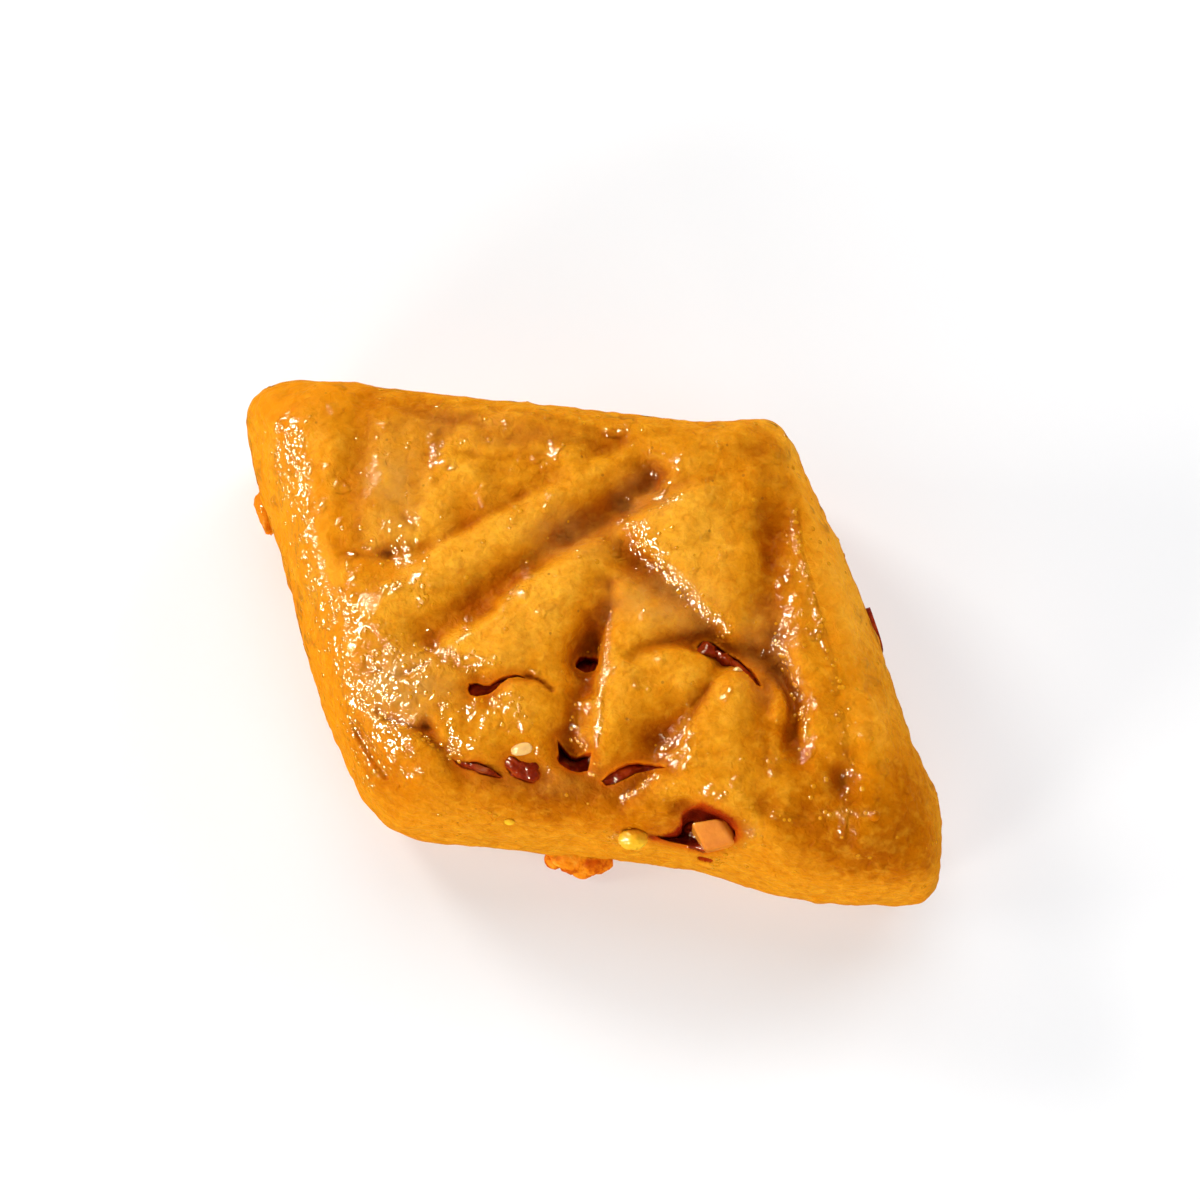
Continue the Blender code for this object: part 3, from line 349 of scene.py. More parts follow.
# Where the dough is thin over the filling, or was pressed hard, it looks duller and browner: middle, half
# widths and share
THIN_PLACES = (
    ("upper_panel", (-15.8, 8.2), (2.2, 4.6), 0.6),
    ("low_panel", (-13.6, -6.8), (3.4, 2.4), 1.0),
    ("block_foot", (5.4, 1.6), (4.2, 2.4), 0.6),
    ("block_back", (3.0, 9.6), (2.4, 2.0), 0.5),
    ("long_valley", (-2.0, 6.0), (3.6, 2.0), 0.45),
    ("right_valley", (13.0, -1.5), (2.2, 3.5), 0.45),
    ("seam", (-1.0, -13.0), (5.0, 1.4), 0.5),
    ("back_band", (-10.0, 13.6), (6.0, 1.6), 0.3),
)
# Where the dough is soaked through and deep orange: a line, its reach and its share
SOAKED = (
    ("left_rim", ((-24.6, 13.5), (-22.8, 7.0), (-20.5, 0.5), (-17.5, -7.5)), 2.6, 0.75),
    ("left_corner", ((-25.5, 15.5), (-20.5, 15.5)), 2.2, 0.7),
    ("across", ((-19.5, 2.2), (-15.5, 2.0)), 1.0, 0.6),
    ("low_corner", ((-16.5, -10.5), (-12.5, -13.5)), 1.6, 0.6),
    ("right_rim", ((15.5, 13.0), (18.5, 1.0), (21.5, -10.0)), 1.8, 0.5),
)


def bell(away, reach):
    """1 at no distance, falling off over a reach."""
    return np.exp(-((away / reach) ** 2))


def fade(value, start, reach):
    """0 up to a start, then rising to 1 over a reach."""
    return np.clip((value - start) / reach, 0, 1)


def patch_share(x, y, middle, halves, power=1):
    """1 in the middle of an oval patch, falling off over its two half widths."""
    return np.exp(-((((x - middle[0]) / halves[0]) ** 2 + ((y - middle[1]) / halves[1]) ** 2) ** power))


def lattice_noise(points, size, seed):
    """Smooth noise from -1 to 1 at each point, with features of the given size."""
    table = np.random.default_rng(seed).uniform(-1, 1, (16, 16, 16))
    q = points / size + 100.0
    base = np.floor(q).astype(int)
    f = q - base
    f = f * f * (3 - 2 * f)
    total = np.zeros(len(points))
    for corner in range(8):
        step = np.array([corner & 1, corner >> 1 & 1, corner >> 2 & 1])
        weight = np.prod(np.where(step, f, 1 - f), axis=1)
        i = (base + step) % 16
        total += weight * table[i[:, 0], i[:, 1], i[:, 2]]
    return total


def bumps(points, table):
    """The sum of several noises, each with its size, height and seed."""
    return sum(height * lattice_noise(points, size, seed) for size, height, seed in table)


def curve_through(start, middle, end, count=9):
    """Points of the parabola from start through middle to end."""
    start, middle, end = np.array(start), np.array(middle), np.array(end)
    pull = 2 * middle - (start + end) / 2
    t = np.linspace(0, 1, count)[:, None]
    return (1 - t) ** 2 * start + 2 * t * (1 - t) * pull + t * t * end


def distance_to_line(x, y, line):
    """Distance to a line of points, and the side on which each place lies: 1 on its left, -1 on its right."""
    nearest = np.full(x.shape, 1e9)
    side = np.zeros(x.shape)
    for a, b in zip(line[:-1], line[1:]):
        run = b - a
        length = math.hypot(*run)
        t = np.clip(((x - a[0]) * run[0] + (y - a[1]) * run[1]) / length**2, 0, 1)
        dx = x - a[0] - t * run[0]
        dy = y - a[1] - t * run[1]
        away = dx * dx + dy * dy
        closer = away < nearest
        nearest = np.where(closer, away, nearest)
        side = np.where(closer, (run[0] * dy - run[1] * dx) / length, side)
    away = np.sqrt(nearest)
    return away, side / np.maximum(away, 1e-6)


def mark_height(x, y, line, left, right):
    """1 on the line, falling off over the left and right half widths."""
    away, side = distance_to_line(x, y, line)
    return bell(away, right + (left - right) * (0.5 + 0.5 * side))


def inside(x, y, outline):
    """True where a place lies inside a closed outline."""
    hit = np.zeros(x.shape, dtype=bool)
    for (x0, y0), (x1, y1) in zip(outline, np.roll(outline, -1, axis=0)):
        if y0 == y1:
            continue
        hit ^= ((y0 > y) != (y1 > y)) & (x < (x1 - x0) * (y - y0) / (y1 - y0) + x0)
    return hit


def distance_to_tear(x, y, outline):
    """Distance to the edge of a tear, negative inside it."""
    outline = np.array(outline)
    away, _side = distance_to_line(x, y, np.concatenate([outline, outline[:1]]))
    return np.where(inside(x, y, outline), -away, away)


def relief(x, y):
    """Height that the marks, the unevenness and the soft lips of the tears add to the top."""
    total = np.zeros(x.shape)
    for _name, start, middle, end, left, right, height in MARKS:
        total += height * mark_height(x, y, curve_through(start, middle, end), left, right)
    for _name, line, width, depth in CREASES:
        away, _side = distance_to_line(x, y, np.array(line))
        total -= depth * bell(away, width)
    flat = np.stack([x.ravel(), y.ravel(), np.zeros(x.size)], axis=1)
    for size, height, seed in UNEVEN:
        total += height * lattice_noise(flat, size, seed).reshape(x.shape)
    for outline in TEARS.values():
        total -= LIP_DROP * bell(np.maximum(distance_to_tear(x, y, outline), 0), LIP_REACH)
    return total


def wetness(x, y):
    """How wet and uneven the honey is at a place, and how many beads of it lie on a square millimetre."""
    wet = np.zeros(x.shape)
    beads = np.full(x.shape, BEADS_ALL_OVER)
    for _name, line, reach, crowd in WET_ROWS:
        away, _side = distance_to_line(x, y, np.array(line))
        wet = np.maximum(wet, ROW_WETNESS * bell(away, reach + ROW_MARGIN))
        beads = np.maximum(beads, ROW_CROWDING * crowd * bell(away, reach))
    for _name, middle, halves, share in WET_PATCHES:
        here = share * patch_share(x, y, middle, halves)
        wet = np.maximum(wet, here)
        beads = np.maximum(beads, BEADS_IN_PATCH * here)
    return wet, beads


def hollows(x, y, reach, step=0.25, half_x=33.0, half_y=22.0):
    """How far a place lies below the mean of the top round it: positive in creases, negative on crests."""
    across = np.arange(-half_x, half_x, step)
    along = np.arange(-half_y, half_y, step)
    grid_x, grid_y = np.meshgrid(across, along, indexing="ij")
    ground = relief(grid_x, grid_y)
    wave_x = np.fft.fftfreq(len(across), step)[:, None]
    wave_y = np.fft.fftfreq(len(along), step)[None, :]
    calm = np.exp(-2 * (math.pi * reach) ** 2 * (wave_x**2 + wave_y**2))
    below = np.real(np.fft.ifft2(np.fft.fft2(ground) * calm)) - ground
    i = np.clip((x - across[0]) / step, 0, len(across) - 1.001)
    j = np.clip((y - along[0]) / step, 0, len(along) - 1.001)
    i0 = i.astype(int)
    j0 = j.astype(int)
    u = i - i0
    v = j - j0
    left, right = (below[n, j0] * (1 - v) + below[n, j0 + 1] * v for n in (i0, i0 + 1))
    return left * (1 - u) + right * u


def rounded(s, t):
    """How far out a point of the square is, and its place on the side of the square with rounded corners."""
    k = np.maximum(np.maximum(np.abs(s), np.abs(t)), 1e-9)
    a = s / k
    b = t / k
    back = np.where(a < 0, ROUND_BACK_LEFT, ROUND_BACK_RIGHT)
    front = np.where(a < 0, ROUND_FRONT_LEFT, ROUND_FRONT_RIGHT)
    r = np.where(b > 0, back, front)
    out_a = np.abs(a) - (1 - r)
    out_b = np.abs(b) - (1 - r)
    corner = (out_a > 0) & (out_b > 0)
    length = np.maximum(np.hypot(out_a, out_b), 1e-9)
    to_a = np.where(corner, 1 - r + out_a / length * r, np.abs(a))
    to_b = np.where(corner, 1 - r + out_b / length * r, np.abs(b))
    return k, np.sign(a) * to_a, np.sign(b) * to_b


def swell(table, t):
    """How far a side stands out at t along it."""
    return sum(depth * bell(t - at, SWELL_REACH) for at, depth in table)


def plan(s, t):
    """Where a point of the square lands in plan."""
    corners = [np.array(c) for c in (BACK_LEFT, BACK_RIGHT, FRONT_RIGHT, FRONT_LEFT)]
    back_left, back_right, front_right, front_left = corners
    u = s[..., None]
    v = t[..., None]
    p = (1 - u) * (1 + v) * back_left + (1 + u) * (1 + v) * back_right
    p = (p + (1 + u) * (1 - v) * front_right + (1 - u) * (1 - v) * front_left) / 4
    sides = (
        (back_left, front_left, -1, -s, (1 - t) / 2, SWELL_LEFT),
        (back_right, front_right, 1, s, (1 - t) / 2, SWELL_RIGHT),
        (front_left, front_right, -1, -t, (1 + s) / 2, SWELL_FRONT),
        (back_left, back_right, 1, t, (1 + s) / 2, SWELL_BACK),
    )
    for start, end, turn, out, along, table in sides:
        run = (end - start) / np.hypot(*(end - start))
        outward = turn * np.array([-run[1], run[0]])
        p = p + (np.maximum(out, 0) ** SWELL_POWER * swell(table, along))[..., None] * outward
    return p


def by_side(values, s, t):
    """The left, right, front and back values, blended by the side that a point faces."""
    left, right, front, back = values
    a = np.abs(s) ** SIDE_POWER
    b = np.abs(t) ** SIDE_POWER
    share = a / (a + b + 1e-12)
    return share * np.where(s < 0, left, right) + (1 - share) * np.where(t < 0, front, back)


def spread(count, rim=3.5):
    """Places from -1 to 1, closer together towards both ends, where the surface turns down."""
    flat = HALF_WIDTH - rim
    q = np.linspace(-1, 1, count + 1)
    arc = np.abs(q) * (flat + rim * math.pi / 2)
    out = np.where(arc < flat, arc, flat + rim * np.sin((arc - flat) / rim))
    return np.sign(q) * out / HALF_WIDTH


def skin_normals(points, faces):
    """Outward direction at each point of a skin of four-cornered faces."""
    a, b, c, d = (points[faces[:, n]] for n in range(4))
    across = np.cross(c - a, d - b)
    total = np.zeros(points.shape)
    for n in range(4):
        np.add.at(total, faces[:, n], across)
    return total / np.maximum(np.linalg.norm(total, axis=1), 1e-9)[:, None]


def dough_mesh():
    """Points and faces of the closed dough body."""
    s, t = np.meshgrid(spread(ALONG), spread(ACROSS), indexing="ij")
    k, edge_s, edge_t = rounded(s, t)
    xy = plan(k * edge_s, k * edge_t)
    widest = by_side(WIDEST_AT, edge_s, edge_t)
    inward = np.clip((1 - k) * HALF_WIDTH / by_side(SHOULDER, edge_s, edge_t), 0, 1)
    rise = (1 - (1 - inward) ** SHOULDER_POWER) ** (1 / SHOULDER_POWER)
    z = widest + (DOUGH_TOP - widest) * rise + relief(xy[..., 0], xy[..., 1]) * rise**2
    points = np.concatenate([xy, z[..., None]], axis=-1).reshape(-1, 3)
    across = ACROSS + 1
    i, j = np.meshgrid(np.arange(ALONG), np.arange(ACROSS), indexing="ij")
    a = (i * across + j).ravel()
    quads = [np.column_stack([a, a + across, a + across + 1, a + 1])]
    ring = [(i, 0) for i in range(ALONG)] + [(ALONG, j) for j in range(ACROSS)]
    ring += [(i, ACROSS) for i in range(ALONG, 0, -1)] + [(0, j) for j in range(ACROSS, 0, -1)]
    ring = np.array(ring)
    rim_s = edge_s[ring[:, 0], ring[:, 1]]
    rim_t = edge_t[ring[:, 0], ring[:, 1]]
    outline = plan(rim_s, rim_t)
    middle = plan(np.zeros(1), np.zeros(1))[0]
    high = by_side(WIDEST_AT, rim_s, rim_t)
    drawn = by_side(DRAWN_IN, rim_s, rim_t)
    rows = [ring[:, 0] * across + ring[:, 1]]
    for row in range(1, DOWN + 1):
        angle = math.pi / 2 * (1 - row / DOWN)
        inset = 1 - drawn * (1 - math.sin(angle)) / HALF_WIDTH
        place = middle + (outline - middle) * inset[:, None]
        level = high * (1 - math.cos(angle))
        if row == DOWN:
            level = np.zeros(len(ring))
        rows.append(np.arange(len(ring)) + len(points))
        points = np.concatenate([points, np.concatenate([place, level[:, None]], axis=1)])
    for upper, lower in zip(rows[:-1], rows[1:]):
        quads.append(np.column_stack([upper, lower, np.roll(lower, -1), np.roll(upper, -1)]))
    quads = np.concatenate(quads)
    outward = skin_normals(points, quads)
    push = bumps(points, SKIN_BUMPS) * fade(points[:, 2], 0, BUMPS_FADE)
    points = points + outward * push[:, None]
    faces = [tuple(f) for f in quads.tolist()]
    faces.append(tuple(int(v) for v in rows[-1][::-1]))
    return points, faces


def new_object(name, data):
    """A new object in the scene."""
    made = bpy.data.objects.new(name, data)
    bpy.context.scene.collection.objects.link(made)
    return made


def object_from(name, points, faces):
    """A new mesh object from points in millimetres."""
    shift = np.array([*ORIGIN_SHIFT, 0.0])
    mesh = bpy.data.meshes.new(name)
    mesh.from_pydata(((np.asarray(points) + shift) * MM).tolist(), [], faces)
    mesh.update()
    return new_object(name, mesh)


def fine_outline(outline, step):
    """A closed outline with a point at about every step, running anticlockwise."""
    outline = np.array(outline)
    fine = []
    for a, b in zip(outline, np.roll(outline, -1, axis=0)):
        steps = max(1, int(round(math.hypot(*(b - a)) / step)))
        fine += [a + (b - a) * n / steps for n in range(steps)]
    outline = np.array(fine)
    after = np.roll(outline, -1, axis=0)
    area = np.sum(outline[:, 0] * after[:, 1] - after[:, 0] * outline[:, 1])
    return outline[::-1] if area < 0 else outline


def tube_faces(rings, count, first=0):
    """Faces between rings of count points each, from the point numbered first."""
    faces = []
    for n in range(rings - 1):
        for m in range(count):
            a = first + n * count + m
            b = first + n * count + (m + 1) % count
            faces.append((a, b, b + count, a + count))
    return faces


def tear_cutter(name, outline):
    """A closed upright cutter over an outline, drawn in towards its foot, with uneven walls."""
    outline = fine_outline(outline, TEAR_STEP)
    count = len(outline)
    middle = outline.mean(axis=0)
    away = (outline - middle) / np.maximum(np.linalg.norm(outline - middle, axis=1), 0.2)[:, None]
    rings = []
    for n in range(TEAR_LEVELS + 1):
        up = n / TEAR_LEVELS
        ring = middle + (outline - middle) * (TEAR_TAPER + (1 - TEAR_TAPER) * up)
        ring = np.column_stack([ring, np.full(count, TEAR_FLOOR + (TEAR_CEILING - TEAR_FLOOR) * up)])
        ring[:, :2] += away * bumps(ring, WALL_BUMPS)[:, None]
        rings.append(ring)
    faces = [tuple(range(count))[::-1], tuple(range(TEAR_LEVELS * count, (TEAR_LEVELS + 1) * count))]
    return object_from(name, np.concatenate(rings), faces + tube_faces(TEAR_LEVELS + 1, count))


# The core runs through the log: stations along it with centre, half width, mid height and half height
CORE = (
    (-24.9, 7.2, 1.3, 8.3, 0.8),
    (-23.0, 6.2, 2.2, 8.4, 1.1),
    (-18.0, 1.2, 3.8, 8.8, 1.9),
    (-11.0, -4.6, 5.9, 9.3, 2.7),
    (-4.0, -6.8, 6.5, 9.6, 3.1),
    (4.0, -6.9, 6.5, 9.6, 3.1),
    (10.5, -6.3, 6.3, 9.5, 3.0),
    (16.0, -2.6, 4.6, 9.0, 2.4),
    (19.4, 1.6, 2.4, 8.4, 1.6),
    (21.3, 3.3, 1.7, 8.1, 1.1),
)
CORE_SLANT = -0.39
CORE_LUMPINESS = 0.07
CORE_ROUNDNESS = 0.8
CORE_WAVES = ((1.3, 1.0, 41), (0.6, 0.5, 42))
# The tunnel for the core: its gap all round, how far it runs on past both ends, and its turn there
CORE_GAP = 0.3
TUNNEL_LONGER = 1.5
TUNNEL_TURNS = (-0.36, 0.9)


def core_mesh(grow=0.0, longer=0.0, steps=34, around=18, rough=0.0):
    """The core as a lumpy closed bar along the log, grown by a gap where it is used as a cutter."""
    stations = np.array(CORE)
    station = np.linspace(stations[0, 0], stations[-1, 0], steps)
    x = station.copy()
    if longer:
        x = np.concatenate([[x[0] - longer], x, [x[-1] + longer]])
        station = np.concatenate([station[:1], station, station[-1:]])
    y, half, mid, tall = (np.interp(station, stations[:, 0], stations[:, n]) for n in range(1, 5))
    y += (x - station) * np.where(x < station, *TUNNEL_TURNS)
    angle = np.arange(around) * 2 * math.pi / around
    round_y, round_z = (np.sign(v) * np.abs(v) ** CORE_ROUNDNESS for v in (np.cos(angle), np.sin(angle)))
    rings = []
    for n in range(len(x)):
        lumpy = 1 + CORE_LUMPINESS * np.sin(3 * angle + 1.2 * station[n]) * np.cos(0.8 * station[n])
        ring_y = y[n] + (half[n] * lumpy + grow) * round_y
        ring_z = mid[n] + (tall[n] * lumpy + grow) * round_z
        ring = np.column_stack([x[n] + CORE_SLANT * (ring_y - y[n]), ring_y, ring_z])
        if rough:
            away = ring - np.array([x[n], y[n], mid[n]])
            away[:, 0] = 0
            away /= np.maximum(np.linalg.norm(away, axis=1), 0.3)[:, None]
            ring += away * (rough * (bumps(ring, CORE_WAVES) - 0.8))[:, None]
        rings.append(ring)
    last = (len(x) - 1) * around
    faces = [tuple(range(around))[::-1], tuple(range(last, last + around))]
    return np.concatenate(rings), faces + tube_faces(len(x), around)


def lump(name, middle, sizes, turn, seed, rings=14, count=28):
    """A small uneven ball of dough or paste, smoother where it is small."""
    points = [(0.0, 0.0, -1.0)]
    for ring in range(1, rings):
        polar = math.pi * ring / rings
        for n in range(count):
            around = 2 * math.pi * n / count
            out = math.sin(polar)
            points.append((out * math.cos(around), out * math.sin(around), -math.cos(polar)))
    points.append((0.0, 0.0, 1.0))
    last = len(points) - 1
    faces = [(0, 1 + (n + 1) % count, 1 + n) for n in range(count)]
    faces += tube_faces(rings - 1, count, 1)
    faces += [(last, last - count + n, last - count + (n + 1) % count) for n in range(count)]
    points = np.array(points)
    uneven = bumps(points * 3, ((1.7, 0.17, seed), (0.7, 0.11, seed)))
    points *= 1 + (uneven * min(1, (max(sizes) / 1.8) ** 2))[:, None]
    points *= np.array(sizes)
    c = math.cos(math.radians(turn))
    s = math.sin(math.radians(turn))
    points = points @ np.array([[c, s, 0], [-s, c, 0], [0, 0, 1]])
    points += np.array(middle)
    points[:, 2] = np.maximum(points[:, 2], 0.02)
    return object_from(name, points, faces)


def apply_modifiers(obj):
    """Turns a mesh with its modifiers into a plain mesh."""
    bpy.context.view_layer.update()
    evaluated = obj.evaluated_get(bpy.context.evaluated_depsgraph_get())
    mesh = bpy.data.meshes.new_from_object(evaluated)
    obj.modifiers.clear()
    obj.data = mesh
    mesh.name = obj.name


def combine(target, other, operation):
    """Applies one Boolean to target and removes the other object."""
    step = target.modifiers.new("step", "BOOLEAN")
    step.operation = operation
    step.solver = "MANIFOLD"
    step.object = other
    apply_modifiers(target)
    bpy.data.objects.remove(other)


def places(obj):
    """The points of a mesh in millimetres, before the shift."""
    flat = np.empty(len(obj.data.vertices) * 3, np.float32)
    obj.data.vertices.foreach_get("co", flat)
    return flat.reshape(-1, 3).astype(float) / MM - np.array([*ORIGIN_SHIFT, 0.0])


def write_mask(obj, name, values):
    """Stores one number from 0 to 1 on each point of a mesh."""
    made = obj.data.attributes.new(name, "FLOAT", "POINT")
    made.data.foreach_set("value", np.clip(values, 0, 1).astype(np.float32))


dough_points, dough_faces = dough_mesh()
dough = object_from("dough_skin", dough_points, dough_faces)
for number, (bit, middle, sizes, turn) in enumerate(BITS):
    combine(dough, lump(bit, middle, sizes, turn, FIRST_BIT_SEED + number), "UNION")
combine(dough, lump("slit", *SLIT), "DIFFERENCE")
bare_skin = BVHTree.FromPolygons([tuple(p) for p in dough_points], dough_faces)
combine(dough, object_from("tunnel", *core_mesh(grow=CORE_GAP, longer=TUNNEL_LONGER)), "DIFFERENCE")
for tear, outline in TEARS.items():
    combine(dough, tear_cutter(tear, outline), "DIFFERENCE")

# Masks that the dough's material reads, each a number from 0 to 1 on every point of the skin. A pair that
# ends in RISE is the value at which a mask begins and the span over which it reaches its full share.
TOP_RISE = (10.0, 4.0)
INNER_RISE = (14.0, 2.5)
TORN_RISE = (9.0, 3.0)
WET_RISE = (11.5, 2.5)
RELIEF_SPAN = 4.0
# Creases: the two reaches over which the top is compared with its mean, and the share of the wider one. The
# material paints shade into the creases and light onto the crests by it.
FINE_CREASE = 0.6
WIDE_CREASE = 1.6
WIDE_CREASE_SHARE = 0.4
# Tears: the stained skin round them, their walls, and the depth at which the painted shade on the walls is
# darkest. The pocket's front and right walls catch the light, so they stay as pale as they are near the skin:
# painted light.
TEAR_HALO = 0.5
TEAR_WALL_RISE = (-0.08, 0.12)
DEEPEST = 4.0
POCKET_LEFT = 5.0
POCKET_FRONT = -14.7
POCKET_RIGHT = 11.6
LIT_WALL_SPAN = 0.6
LIT_WALL_DEPTH = 0.1
# Thin and soaked places, which an uneven patchiness thins out
THIN_POWER = 1.5
PATCHY = ((1.1, 1.0, 61), (0.5, 0.6, 62))
THIN_PATCHINESS = 0.5
SOAKED_PATCHINESS = 0.4
# Wet honey: besides the rows and patches, a thin film in spots, which lies higher on the front face. It is
# dry round the tears, and only the wetter places shine.
FILM = ((1.3, 1.0, 63), (0.6, 0.5, 64))
FILM_WETNESS = 0.62
FILM_RISE = (0.28, 0.4)
FRONT_FACE = -13.5
FILM_LOWEST = 4.0
FILM_LOWEST_IN_FRONT = 14.0
DRY_BY_TEARS = 0.9
DRY_REACH = 0.35
SHINE_RISE = (0.22, 0.45)
# The tunnel's wall, which the paste stains, less so at the left end: how far round the core it is looked for
TUNNEL_MARGINS = (1.2, 0.8)
TUNNEL_LEFT = -20.0
TUNNEL_LEFT_SHARE = 0.45
# How far off the bare skin a point lies that belongs to the tunnel, or to a bit
OFF_SKIN_WALL = 0.06
OFF_SKIN_BIT = 0.03
SPOT_REACH = 3.2
# Spots of another colour: the mask, the bits that it covers, its reach, and how wet they are
SPOTS = (
    ("slit_red", ("slit",), 1.3, 0.0),
    ("bead_yellow", ("yellow_bit", "yellow_dot"), 1.5, 0.8),
    ("bit_pale", ("pale_bit", "pale_crumb"), 0.9, 0.8),
    ("foot_orange", ("paste_foot", "paste_foot_right", "paste_foot_low", "paste_foot_side"), 2.8, 0.0),
    ("flap_orange", ("flap_left",), 3.0, 0.0),
)

at = places(dough)
x, y, z = at.T
high = relief(x, y)
inner = fade(z, *INNER_RISE)
# The relief's height, by which the colour darkens into the valleys: partly painted shade
write_mask(dough, "relief_height", 0.5 + high / RELIEF_SPAN * fade(z, *TOP_RISE))
creased = hollows(x, y, FINE_CREASE) + WIDE_CREASE_SHARE * hollows(x, y, WIDE_CREASE)
write_mask(dough, "crease", 0.5 + creased * inner)
tear_away = np.min([distance_to_tear(x, y, outline) for outline in TEARS.values()], axis=0)
off_tears = np.maximum(tear_away, 0)
write_mask(dough, "tear_near", bell(off_tears, TEAR_HALO) * fade(z, *TORN_RISE))
write_mask(dough, "tear_wall", fade(-tear_away, *TEAR_WALL_RISE) * (z > TORN_RISE[0]))
# Painted shade on the tear walls, deeper the further below the skin, and none on the pocket's lit walls
depth = (DOUGH_TOP + high - z) / DEEPEST
lit_wall = np.maximum(fade(-y, -POCKET_FRONT, LIT_WALL_SPAN), fade(x, POCKET_RIGHT, LIT_WALL_SPAN))
lit_wall *= x > POCKET_LEFT
write_mask(dough, "painted_tear_shade", np.minimum(depth, depth * (1 - lit_wall) + LIT_WALL_DEPTH * lit_wall))
patchy = bumps(at, PATCHY)
thin = np.zeros(len(at))
for _name, middle, halves, share in THIN_PLACES:
    thin = np.maximum(thin, share * patch_share(x, y, middle, halves, THIN_POWER) * inner)
write_mask(dough, "thin_skin", thin * (0.75 + THIN_PATCHINESS * patchy))
soaked = np.zeros(len(at))
for _name, line, reach, share in SOAKED:
    off, _side = distance_to_line(x, y, np.array(line))
    soaked = np.maximum(soaked, share * bell(off, reach))
write_mask(dough, "soaked", soaked * (0.7 + SOAKED_PATCHINESS * patchy))
wet, beads = wetness(x, y)
lowest = np.where(y > FRONT_FACE, FILM_LOWEST, FILM_LOWEST_IN_FRONT)
film = FILM_WETNESS * fade(bumps(at, FILM), *FILM_RISE) * fade(z, lowest, WET_RISE[1])
wet = np.maximum(wet * fade(z, *WET_RISE), film) * (1 - DRY_BY_TEARS * bell(off_tears, DRY_REACH))
wet = fade(wet, *SHINE_RISE)
stations = np.array(CORE)
core_y, core_half, core_mid, core_tall = (np.interp(x, stations[:, 0], stations[:, n]) for n in range(1, 5))
wall = ((y - core_y) / (core_half + TUNNEL_MARGINS[0])) ** 2
wall = wall + ((z - core_mid) / (core_tall + TUNNEL_MARGINS[1])) ** 2 < 1
middles = {"slit": SLIT[0], **{bit: middle for bit, middle, _sizes, _turn in BITS}}
near_spot = np.linalg.norm(at[:, None, :] - np.array(list(middles.values()))[None], axis=2).min(axis=1)
off_skin = np.zeros(len(at))
for n in np.flatnonzero(wall | (near_spot < SPOT_REACH)):
    off_skin[n] = bare_skin.find_nearest(tuple(at[n]))[3]
tunnel_share = np.where(x < TUNNEL_LEFT, TUNNEL_LEFT_SHARE, 1.0)
write_mask(dough, "core_wall", (wall & (off_skin > OFF_SKIN_WALL)) * tunnel_share)
for name, picked, reach, wet_share in SPOTS:
    spot_away = np.min([np.linalg.norm(at - np.array(middles[bit]), axis=1) for bit in picked], axis=0)
    share = ((spot_away < reach) & (off_skin > OFF_SKIN_BIT)).astype(float)
    write_mask(dough, name, share)
    wet = np.maximum(wet, wet_share * share)
write_mask(dough, "wet", wet)


BLACK = (0.0, 0.0, 0.0)
WHITE = (1.0, 1.0, 1.0)


def feed(tree, socket, value):
    """Links a socket to another one, or sets it to a value; a colour gets its alpha."""
    if isinstance(value, bpy.types.NodeSocket):
        tree.links.new(value, socket)
    elif isinstance(value, tuple) and len(socket.default_value) == 4:
        socket.default_value = (*value, 1.0)
    else:
        socket.default_value = value


def node(tree, kind, inputs=None, **settings):
    """A new node with its settings, and its inputs by name or number."""
    made = tree.nodes.new(kind)
    for key, value in settings.items():
        setattr(made, key, value)
    for key, value in (inputs or {}).items():
        feed(tree, made.inputs[key], value)
    return made


def mix_colour(tree, factor, first, second, blend="MIX"):
    """Mixes two colours, each a socket or a tuple, by a factor socket or number."""
    inputs = {0: factor, 6: first, 7: second}
    return node(tree, "ShaderNodeMix", inputs, data_type="RGBA", blend_type=blend).outputs[2]


def calc(tree, operation, *values):
    """One maths step on sockets or numbers."""
    return node(tree, "ShaderNodeMath", dict(enumerate(values)), operation=operation).outputs[0]


def ramp(tree, factor, *stops):
    """A colour ramp: each stop is a place and a colour."""
    made = node(tree, "ShaderNodeValToRGB", {0: factor})
    elements = made.color_ramp.elements
    while len(elements) < len(stops):
        elements.new(0.5)
    for element, (where, colour) in zip(elements, stops):
        element.position = where
        element.color = (*colour, 1.0)
    return made.outputs[0]


def noise(tree, vector, scale, detail=2.0, rough=0.5, distortion=0.0):
    """A noise texture on a vector in millimetres."""
    inputs = {"Vector": vector, "Scale": scale, "Detail": detail, "Roughness": rough}
    return node(tree, "ShaderNodeTexNoise", {**inputs, "Distortion": distortion}).outputs[0]


def cells(tree, vector, scale):
    """Distance to the middle of the nearest of many scattered cells."""
    return node(tree, "ShaderNodeTexVoronoi", {"Vector": vector, "Scale": scale}).outputs["Distance"]


def mask(tree, name):
    """The value of a mask stored on the mesh."""
    return node(tree, "ShaderNodeAttribute", attribute_name=name).outputs["Fac"]


def bump(tree, height, strength, distance):
    """The normal of a surface with a height on it."""
    inputs = {"Strength": strength, "Distance": distance, "Height": height}
    return node(tree, "ShaderNodeBump", inputs).outputs["Normal"]


def new_material(name):
    """A material, its node tree, and Object coordinates in millimetres."""
    made = bpy.data.materials.new(name)
    made.use_nodes = True
    tree = made.node_tree
    where = node(tree, "ShaderNodeTexCoord").outputs["Object"]
    scaled = node(tree, "ShaderNodeMapping", {"Vector": where, "Scale": (1 / MM, 1 / MM, 1 / MM)})
    return made, tree, scaled.outputs["Vector"]


def set_shader(tree, values):
    """Feeds the inputs of a material's shader."""
    for name, value in values.items():
        feed(tree, tree.nodes["Principled BSDF"].inputs[name], value)


def shade_smooth(obj):
    """Soft shading on a whole mesh."""
    obj.data.polygons.foreach_set("use_smooth", [True] * len(obj.data.polygons))


def dress(obj, material):
    """Gives a mesh one material."""
    obj.data.materials.clear()
    obj.data.materials.append(material)


